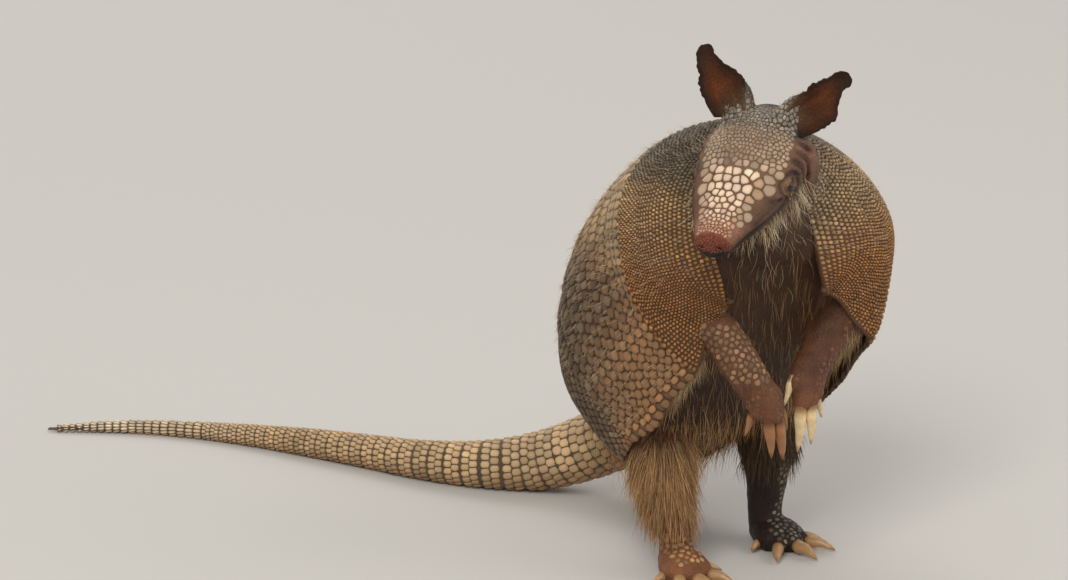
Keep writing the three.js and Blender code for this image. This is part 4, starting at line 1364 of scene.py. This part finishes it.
class TailScutesOperator(bpy.types.Operator):
    """Makes the rings of scutes round the tail"""

    bl_idname = "armadillo.tail_scutes"
    bl_label = "Tail Rings"

    def execute(self, context):
        rng = np.random.default_rng(SEED + 3)
        line = line_of(TAIL)
        shares = np.linspace(0.06, 0.995, 900)
        middle, _along, _back, _left, half = line(shares)
        run = np.concatenate([[0], np.cumsum(np.linalg.norm(np.diff(middle, axis=0), axis=1))])
        at, normal, rear, reach, bend, tints = [], [], [], [], [], []
        start, odd = 0.0, 0
        while start < run[-1] - 3:
            radius = np.interp(start, run, half[:, 0])
            ring = 0.62 * radius + 2.3
            count = max(7, round(2 * math.pi * radius / max(2.2, 0.24 * radius + 1.2)))
            a, b = (0.5, 0.0) if odd % 2 else (0.0, 0.5)
            rows = ((0.29, a, 0.262), (0.71, b, 0.262)) if radius > 6 else ((0.5, 0.0, 0.47),)
            warmth = rng.normal() * 0.03
            for place, offset, cover in rows:
                share = np.interp(start + ring * place, run, shares)
                turn = (np.arange(count) + offset) / count * 2 * math.pi + rng.normal(size=count) * 0.02
                spot, along, back, left, size_ = line(np.full(count, share))
                outward = back * np.cos(turn)[:, None] + left * np.sin(turn)[:, None]
                at.append(spot + outward * (size_[:, :1] - 0.75))
                normal.append(outward)
                rear.append(along)
                reach.append(np.full(count, ring * cover))
                bend.append(size_[:, 0])
                tint = layered(colour("tail"), (
                    ("tail_far", step(start, 250, 400)),
                    ("tail_under", fall(np.cos(turn), -0.9, 0.1) * 0.5),
                ))
                tints.append(tint * (1 + warmth + 0.05 * rng.normal(size=(count, 1))))
            start += ring
            odd += 1
        keep = np.concatenate(at)[:, 2] > RING_FLOOR
        at, normal, rear, reach, bend, tints = (np.concatenate(drawn)[keep]
                                                for drawn in (at, normal, rear, reach, bend, tints))
        piece = scutes("tail_rings", at, normal, rear, reach, np.clip(tints, 0, 1), rise=0.7, gap=0.22,
                       rounding=0.06, tilt=0.4, sides=12, sink=0.7, bend=bend)
        dress(piece, "scute", "tail_scutes")
        return {"FINISHED"}


class LimbScutesOperator(bpy.types.Operator):
    """Makes the small scutes of the arms, legs, cheeks and the roots of the ears"""

    bl_idname = "armadillo.limb_scutes"
    bl_label = "Limb Scutes"

    def execute(self, context):
        ground = places()
        p, n, marks = ground.points, ground.normals, ground.marks
        h, z = to_head(p), p[:, 2]
        up, ahead = h[:, 1], h[:, 2]
        forward = step(-n[:, 1] * 0.8 + n[:, 2] * 0.3, 0.0, 0.5)
        low = fall(z, 34, 52)
        rise_up = step(n[:, 2], -0.6, -0.2)
        cream = (marks["arm_right"] * step(forward, 0.2, 0.6) * step(z, 134, 146)
                 * fall(z, 166, 172))
        cream = cream * (p[:, 1] < -36) * (cream > 0.35)
        fine = ground.region("arm_left", "hand_left") * step(n[:, 0], 0.1, 0.6) + marks["hand_right"]
        foot_right = ground.region("leg_right", "foot_right") * low * rise_up * (np.abs(p[:, 0] + 43) < 9)
        foot_right = foot_right * (n[:, 1] < 0.1) * (z > 13)
        foot_left = ground.region("leg_left", "foot_left") * fall(z, 60, 80) * rise_up
        foot_left = foot_left * step(n[:, 0] + 0.4 * n[:, 2], 0.0, 0.5)
        roots = marks["head"] * step(up, 13, 17) * fall(ahead, 16, 22)
        pad = marks["head"] * step(ahead, 89.0, 91) * step(up, -1.5, 0.5)
        warts = hump(np.linalg.norm(folded(h) - (28, -5.5, 39), axis=1), 0, 2.6)
        warts = warts * (warts > 0.3)
        self.cover("arm_scutes", cream, 3.3, colour("arm_scute"), 0.4, 0.5, "limb_skin", 21, fill=1.0)
        self.cover("arm_scales", fine, 2.8, colour("limb") * 1.25, 0.3, 0.25, "limb_skin", 25)
        self.cover("foot_scutes_right", foot_right, 3.2, colour("foot_scute"), 0.5, 0.4, "limb_skin", 22)
        # painted shade: the left foot's scutes get a darker, greyer copy of the right foot's scute colour
        self.cover("foot_scutes_left", foot_left, 2.9, colour("foot_dull"), 0.35, 0.5, "limb_skin", 26)
        self.cover("ear_root_scutes", roots, 1.7, colour("ear_root"), 0.3, 0.5, "face_skin", 24)
        self.cover("nose_grains", pad, 1.15, colour("nose"), 0.35, 0.35, "face_skin", 27)
        self.cover("cheek_warts", warts, 1.5, colour("wart"), 0.5, 0.5, "face_skin", 28)
        return {"FINISHED"}

    def cover(self, name, weight, apart, tint, rise, spread, slot, seed, fill=0.75):
        """Scutes over the skin where it has weight, at least apart millimetres from each other."""
        at, normal = places().spread(np.clip(weight, 0, 1), apart, SEED + seed)
        rng = np.random.default_rng(SEED + seed)
        down = np.tile((0, 0, -1.0), (len(at), 1)) + 0.01
        tints = tint * (1 + spread * (rng.random((len(at), 1)) - 0.6))
        piece = scutes(name, at - normal * 0.25, normal, down, apart * fill, np.clip(tints, 0, 1), rise=rise,
                       gap=0.16 * apart, rounding=0.3, sides=8)
        dress(piece, "scute", slot)


class EarsOperator(bpy.types.Operator):
    """Makes the cupped, ragged leaves of the ears"""

    bl_idname = "armadillo.ears"
    bl_label = "Ears"

    def execute(self, context):
        for side in ("left", "right"):
            base, along, front, across = ear_frame(side)
            piece = new_grid(f"ear_leaf_{side}", 40, 64)
            flat = coords(piece)
            j, t = flat[:, 0], 0.1 + 0.9 * (flat[:, 1] + 1) / 2
            phase = 0.0 if side == "left" else 1.7
            edge = np.sign(j)
            notches = (0.05 * np.sin(19 * t + 3 * edge + phase) + 0.045 * np.sin(37 * t + 5 * edge - phase)
                       + 0.03 * np.sin(83 * t + phase))
            ragged = notches * np.abs(j) ** 3 * step(t, 0.25, 0.45)
            taper = step(t, 0.48, 0.9)
            tip = np.sqrt(1 - 0.9 * np.clip((t - 0.9) / 0.1, 0, 1) ** 2)
            swell = 0.6 + 0.4 * np.sin(math.pi * np.minimum(t, 0.5))
            half = EAR_WIDTH * swell * (1 - 0.6 * taper) * tip * (1 + ragged)
            widest = 1.25 - 0.75 * t
            bend = j * widest
            radius = half / np.sin(widest)
            fold = 0.5 * np.sin(j * 7 + 4 * t) * (1 - np.abs(j)) + 0.2 * np.sin(j * 13 - 6 * t)
            fold = fold * (1 - taper)
            aside = radius * np.sin(bend) - EAR_LEAN * taper - EAR_BOW * np.sin(math.pi * t)
            points = (base + along * (EAR_LENGTH * t)[:, None] + across * aside[:, None]
                      + front * (radius * (1 - np.cos(bend)) + fold)[:, None])
            set_coords(piece, row(points))
            inner = 1 - np.abs(j) ** 2.5
            warm = inner * step(t, 0.12, 0.35) * fall(t, 0.6, 0.95)
            warm = np.clip(warm * (0.7 + 0.3 * ripple(points, 6, 4.0)), 0, 1)
            base_side = 0.5 - 0.5 * j if side == "left" else 0.5 + 0.5 * j
            tint = layered(colour("ear"), (
                ("ear_warm", warm * 0.85),
                ("ear_base", fall(t, 0.15, 0.5) * base_side * 0.8),
            ))
            tint = tint * (1 + 0.1 * ripple(points, 5, 2.0))[:, None]
            paint(piece, np.clip(tint, 0, 1))
            apply_modifier(piece, "SOLIDIFY", thickness=EAR_THICK * MM, offset=0.0)
            face_outwards(piece)
            apply_modifier(piece, "BEVEL", width=0.35 * MM, segments=2, limit_method="ANGLE")
            smooth(piece, 60)
            dress(piece, "ear", "ear_skin", f"ear_{side}")
        return {"FINISHED"}


class EyesOperator(bpy.types.Operator):
    """Makes the small dark eyes"""

    bl_idname = "armadillo.eyes"
    bl_label = "Eyes"

    def execute(self, context):
        for side in ("left", "right"):
            piece = new_ball(f"eyeball_{side}", 32, 24)
            ball = unit(coords(piece))
            middle = mirrored(EYE_PLACE, side)
            outward = unit(mirrored((1, 0.05, 0.25), side))
            toward = ball @ outward
            bulge = 1 + 0.06 * step(toward, 0.7, 1.0)
            points = from_head(middle + ball * (EYE_RADIUS * bulge)[:, None])
            set_coords(piece, row(points))
            paint(piece, layered(colour("eyeball"), (
                ("iris", step(toward, 0.62, 0.72)),
                ("pupil", step(toward, 0.84, 0.88)),
            )))
            smooth(piece, 80)
            dress(piece, "eye", "eye", f"eye_{side}")
        return {"FINISHED"}


class ClawsOperator(bpy.types.Operator):
    """Makes the curved horny claws of the hands and feet"""

    bl_idname = "armadillo.claws"
    bl_label = "Claws"

    def execute(self, context):
        for limb, table in (("hand", ARMS), ("foot", LEGS)):
            for side in ("left", "right"):
                for i, (root, tip, r) in enumerate(table[side]["claws"]):
                    self.claw(limb, side, i + 1, np.array(root, float), np.array(tip, float), r)
        return {"FINISHED"}

    def claw(self, limb, side, number, root, tip, r):
        along = unit(tip - root)
        top = (0.1, 0.05, 1) if limb == "foot" else (0.0, -1.0, 0.3)
        lift = np.array((0, 0, 0.3 * r)) if limb == "foot" else np.array((0, -0.22 * r, 0))
        stations = (
            (root - along * 2.2, 0.86 * r, 0.86 * r, 0.8 * r),
            (between(root, tip, 0.22), 0.98 * r, r, 0.85 * r),
            (between(root, tip, 0.5) + lift, 0.78 * r, 0.82 * r, 0.6 * r),
            (between(root, tip, 0.8) + 0.6 * lift, 0.48 * r, 0.5 * r, 0.36 * r), (tip, 0.45, 0.5, 0.4))
        name = f"horn_{limb}_{side}_{number}"
        piece = wrapped(name, stations, 20, 36, top, cap=(0.1, 0.9))
        points = own(coords(piece))
        share = np.clip((points - root) @ along / np.linalg.norm(tip - root), 0, 1)
        points[:, 2] = np.maximum(points[:, 2], SKIN_FLOOR)
        set_coords(piece, row(points))
        brown = {("hand", "left"): 0.0, ("hand", "right"): 0.85}.get((limb, side), 0.5)
        horn = mix(colour("claw"), colour("claw_brown"), brown)
        tint = mix(horn, horn * (0.62, 0.5, 0.42), fall(share, 0.0, 0.22))
        tint = mix(tint, horn * (0.8, 0.72, 0.62), step(share, 0.8, 1.0))
        paint(piece, np.clip(tint * (1 + 0.06 * ripple(points, 2.2, 1.0))[:, None], 0, 1))
        face_outwards(piece)
        smooth(piece, 60)
        dress(piece, "claw", "claw", f"claw_{limb}_{side}_{number}")


class HairOperator(bpy.types.Operator):
    """Makes the hair of the legs, belly, throat and flanks, and the fine hairs between the bands"""

    bl_idname = "armadillo.hair"
    bl_label = "Hair"

    def execute(self, context):
        ground = places()
        p, n, marks = ground.points, ground.normals, ground.marks
        h, z = to_head(p), p[:, 2]
        side, up, ahead = np.abs(h[:, 0]), h[:, 1], h[:, 2]
        bare = marks["bare"]
        down = np.array([0, 0, -1.0])
        thigh = step(z, 33, 50) * fall(z, 112, 124)
        straw, tan, hair_length = colour("straw"), colour("hair"), size("leg_hair")
        self.coat("leg_hair_right", marks["leg_right"] * thigh * bare, 4200, hair_length, down, 0.12,
                  tan, 31, width=0.42, curl=0.05)
        # painted shade: the hair of the left thigh is the hair colour darkened to 0.55
        far_thigh = marks["leg_left"] * step(z, 48, 70) * bare
        self.coat("leg_hair_left", far_thigh, 1200, hair_length * 0.7, down, 0.15, tan * 0.55, 32, width=0.4)
        chest = marks["body"] * bare * step(-n[:, 1], -0.3, 0.2) * fall(z, 195, 215)
        self.coat("belly_hair", chest, 800, size("belly_hair"), down, 0.2, tan, 33)
        low = marks["body"] * bare * fall(z, 95, 130)
        self.coat("groin_hair", low, 800, size("belly_hair") * 1.5, down, 0.3,
                  straw * (0.92, 0.8, 0.66), 34, width=0.28)
        self.coat("flank_hair", marks["flank"] * bare * step(z, 100, 130), 600, 11, down, 0.45,
                  straw * (1.0, 0.92, 0.86), 37, width=0.26)
        jaw = marks["head"] * fall(up, -12, -7) * fall(ahead, 66, 80)
        self.coat("throat_hair", jaw + 0.3 * marks["neck"] * bare, 460, size("throat_hair") * 1.15,
                  down + 0.9 * HEAD_Z, 1.6, straw * 0.95, 35, width=0.26, curl=0.3)
        cheek = (marks["head"] * step(side, 14, 20) * fall(up, -8, -4)
                 * step(up, -22, -18) * step(ahead, 14, 24) * fall(ahead, 60, 70))
        self.coat("cheek_bristles", cheek, 200, size("throat_hair") * 1.35, down + 0.6 * HEAD_Z, 2.4, straw,
                  38, width=0.3, curl=0.25)
        crown = marks["head"] * step(up, 12, 18) * fall(ahead, 18, 26)
        self.coat("crown_hair", crown, 260, 5, np.array([0, 0.3, 0.6]), 0.9, straw, 39, width=0.18)
        arms = ground.region("arm_left", "arm_right") * bare
        self.coat("arm_hair", arms, 400, 7, down, 0.3, tan * 0.8, 36)
        self.band_hair()
        return {"FINISHED"}

    def coat(self, name, weight, count, length, heading, stand, tint, seed, width=0.24, curl=0.12):
        """Hairs over the skin where it has weight; stand is how steeply they leave it."""
        rng = np.random.default_rng(SEED + seed)
        at, normal = places().draw(np.clip(weight, 0, 1), count, SEED + seed)
        flow = unit(heading - normal * (normal @ heading)[:, None] + rng.normal(size=at.shape) * 0.16)
        way = unit(flow + normal * (stand * (0.6 + 0.8 * rng.random((count, 1)))))
        lengths = length * (0.55 + 0.6 * rng.random(count))
        tints = np.clip(tint * (0.72 + 0.5 * rng.random((count, 1))), 0, 1)
        piece = strands(name, at - normal * 0.3, way, lengths, width, tints, curl=curl, seed=SEED + seed)
        dress(piece, "hair", "belly_skin")

    def band_hair(self):
        """Fine hairs at the rear edge of each band, and sparse ones between the shoulder shield's beads."""
        rng = np.random.default_rng(SEED + 40)
        at, way = [], []
        for name, ends in plate_ends().items():
            if name == "pelvic_shield":
                continue
            rear, front, rise = ends
            band = name.startswith("band")
            count = 260 if band else 1300
            share = rng.uniform(-0.97, 0.97, count) * (1.0 if band else 0.8)
            up = np.zeros(count) if band else 0.15 + 0.85 * rng.random(count) ** 0.7
            place = rear(share) + (front(share) - rear(share)) * up + 0.012
            _at, normal, toward_rear = shell_frames(place, share, 0)
            at.append(shell_place(place, share, rise * (1 - up) - 0.6))
            steep = rng.uniform(0.15, 0.7, (count, 1))
            way.append(unit(toward_rear + normal * steep + rng.normal(size=(count, 3)) * 0.15))
        at, way = np.concatenate(at), np.concatenate(way)
        tints = np.clip(colour("straw") * (0.7 + 0.4 * rng.random((len(at), 1))), 0, 1)
        length = 4.0 + 4.5 * rng.random(len(at))
        piece = strands("band_hair", at, way, length, 0.2, tints, droop=0.05, seed=SEED + 41)
        dress(piece, "hair", "carapace")


# ---------------------------------------------------------------- stage
CAMERA_AT = (-2114.21, -3662.11, 1539.1)
CAMERA_LOOKS_AT = (-81.21, 111.49, 153.7)
CAMERA_LENS = 250.3
LAMPS_LOOK_AT = (0, 0, 0.15)
LAMPS = (  # name, place in metres, size, power and colour
    ("key_light", (-1.6, -1.9, 2.6), 1.6, 60, (1.0, 0.97, 0.92)),
    ("fill_light", (2.2, -1.6, 1.5), 2.4, 22, (1.0, 0.98, 0.95)),
    ("back_light", (0.3, 2.6, 2.4), 2.0, 30, (1.0, 0.98, 0.95)),
)


class StageOperator(bpy.types.Operator):
    """Makes the pale floor, the soft light and the camera"""

    bl_idname = "armadillo.stage"
    bl_label = "Stage"

    def execute(self, context):
        deselect()
        bpy.ops.mesh.primitive_plane_add(size=16, location=(0, 0, 0))
        floor = bpy.context.object
        floor.name = "studio_floor"
        material, _tree, shader = new_material("studio_floor", 0.85)
        shader.inputs["Base Color"].default_value = (0.62, 0.60, 0.57, 1)
        floor.data.materials.append(material)
        for name, place, span, power, tint in LAMPS:
            lamp = bpy.data.lights.new(name, "AREA")
            lamp.size, lamp.energy, lamp.color = span, power, tint
            holder = bpy.data.objects.new(name, lamp)
            context.scene.collection.objects.link(holder)
            holder.location = place
            holder.rotation_euler = self.turned(place, LAMPS_LOOK_AT)
        world = bpy.data.worlds.new("studio")
        world.use_nodes = True
        sky = world.node_tree.nodes["Background"]
        sky.inputs["Color"].default_value = (0.95, 0.93, 0.90, 1)
        sky.inputs["Strength"].default_value = 0.5
        context.scene.world = world
        context.scene.view_settings.view_transform = "Standard"
        camera = bpy.data.cameras.new("camera")
        camera.lens, camera.sensor_width, camera.sensor_fit = CAMERA_LENS, 36, "HORIZONTAL"
        camera.clip_start, camera.clip_end = 0.1, 60
        holder = bpy.data.objects.new("camera", camera)
        context.scene.collection.objects.link(holder)
        holder.location = row(CAMERA_AT)
        holder.rotation_euler = self.turned(row(CAMERA_AT), row(CAMERA_LOOKS_AT))
        context.scene.camera = holder
        return {"FINISHED"}

    def turned(self, place, target):
        """The turn of a lamp or camera that looks from a place at a target."""
        return (Vector(target) - Vector(place)).to_track_quat("-Z", "Y").to_euler()


STEPS = (
    MaterialsOperator, ShellOperator, ShellScutesOperator, SkinOperator, HeadScutesOperator,
    TailScutesOperator, LimbScutesOperator, EarsOperator, EyesOperator, ClawsOperator, HairOperator,
    StageOperator,
)


class ArmadilloPanel(bpy.types.Panel):
    """Lists the armadillo's pieces, sizes and colours"""

    bl_idname = "VIEW3D_PT_armadillo"
    bl_label = "Armadillo"
    bl_space_type = "VIEW_3D"
    bl_region_type = "UI"
    bl_category = "Armadillo"

    def draw(self, context):
        for maker in STEPS:
            self.layout.operator(maker.bl_idname)
        for group in (context.scene.armadillo_sizes, context.scene.armadillo_colours):
            for name in group.__annotations__:
                self.layout.prop(group, name)


CLASSES = (ArmadilloSizes, ArmadilloColours, *STEPS, ArmadilloPanel)


def register():
    for one in CLASSES:
        bpy.utils.register_class(one)
    bpy.types.Scene.armadillo_sizes = bpy.props.PointerProperty(type=ArmadilloSizes)
    bpy.types.Scene.armadillo_colours = bpy.props.PointerProperty(type=ArmadilloColours)


def unregister():
    del bpy.types.Scene.armadillo_colours
    del bpy.types.Scene.armadillo_sizes
    for one in reversed(CLASSES):
        bpy.utils.unregister_class(one)


def main():
    register()
    for maker in STEPS:
        group, name = maker.bl_idname.split(".")
        getattr(getattr(bpy.ops, group), name)()


if __name__ == "__main__":
    main()
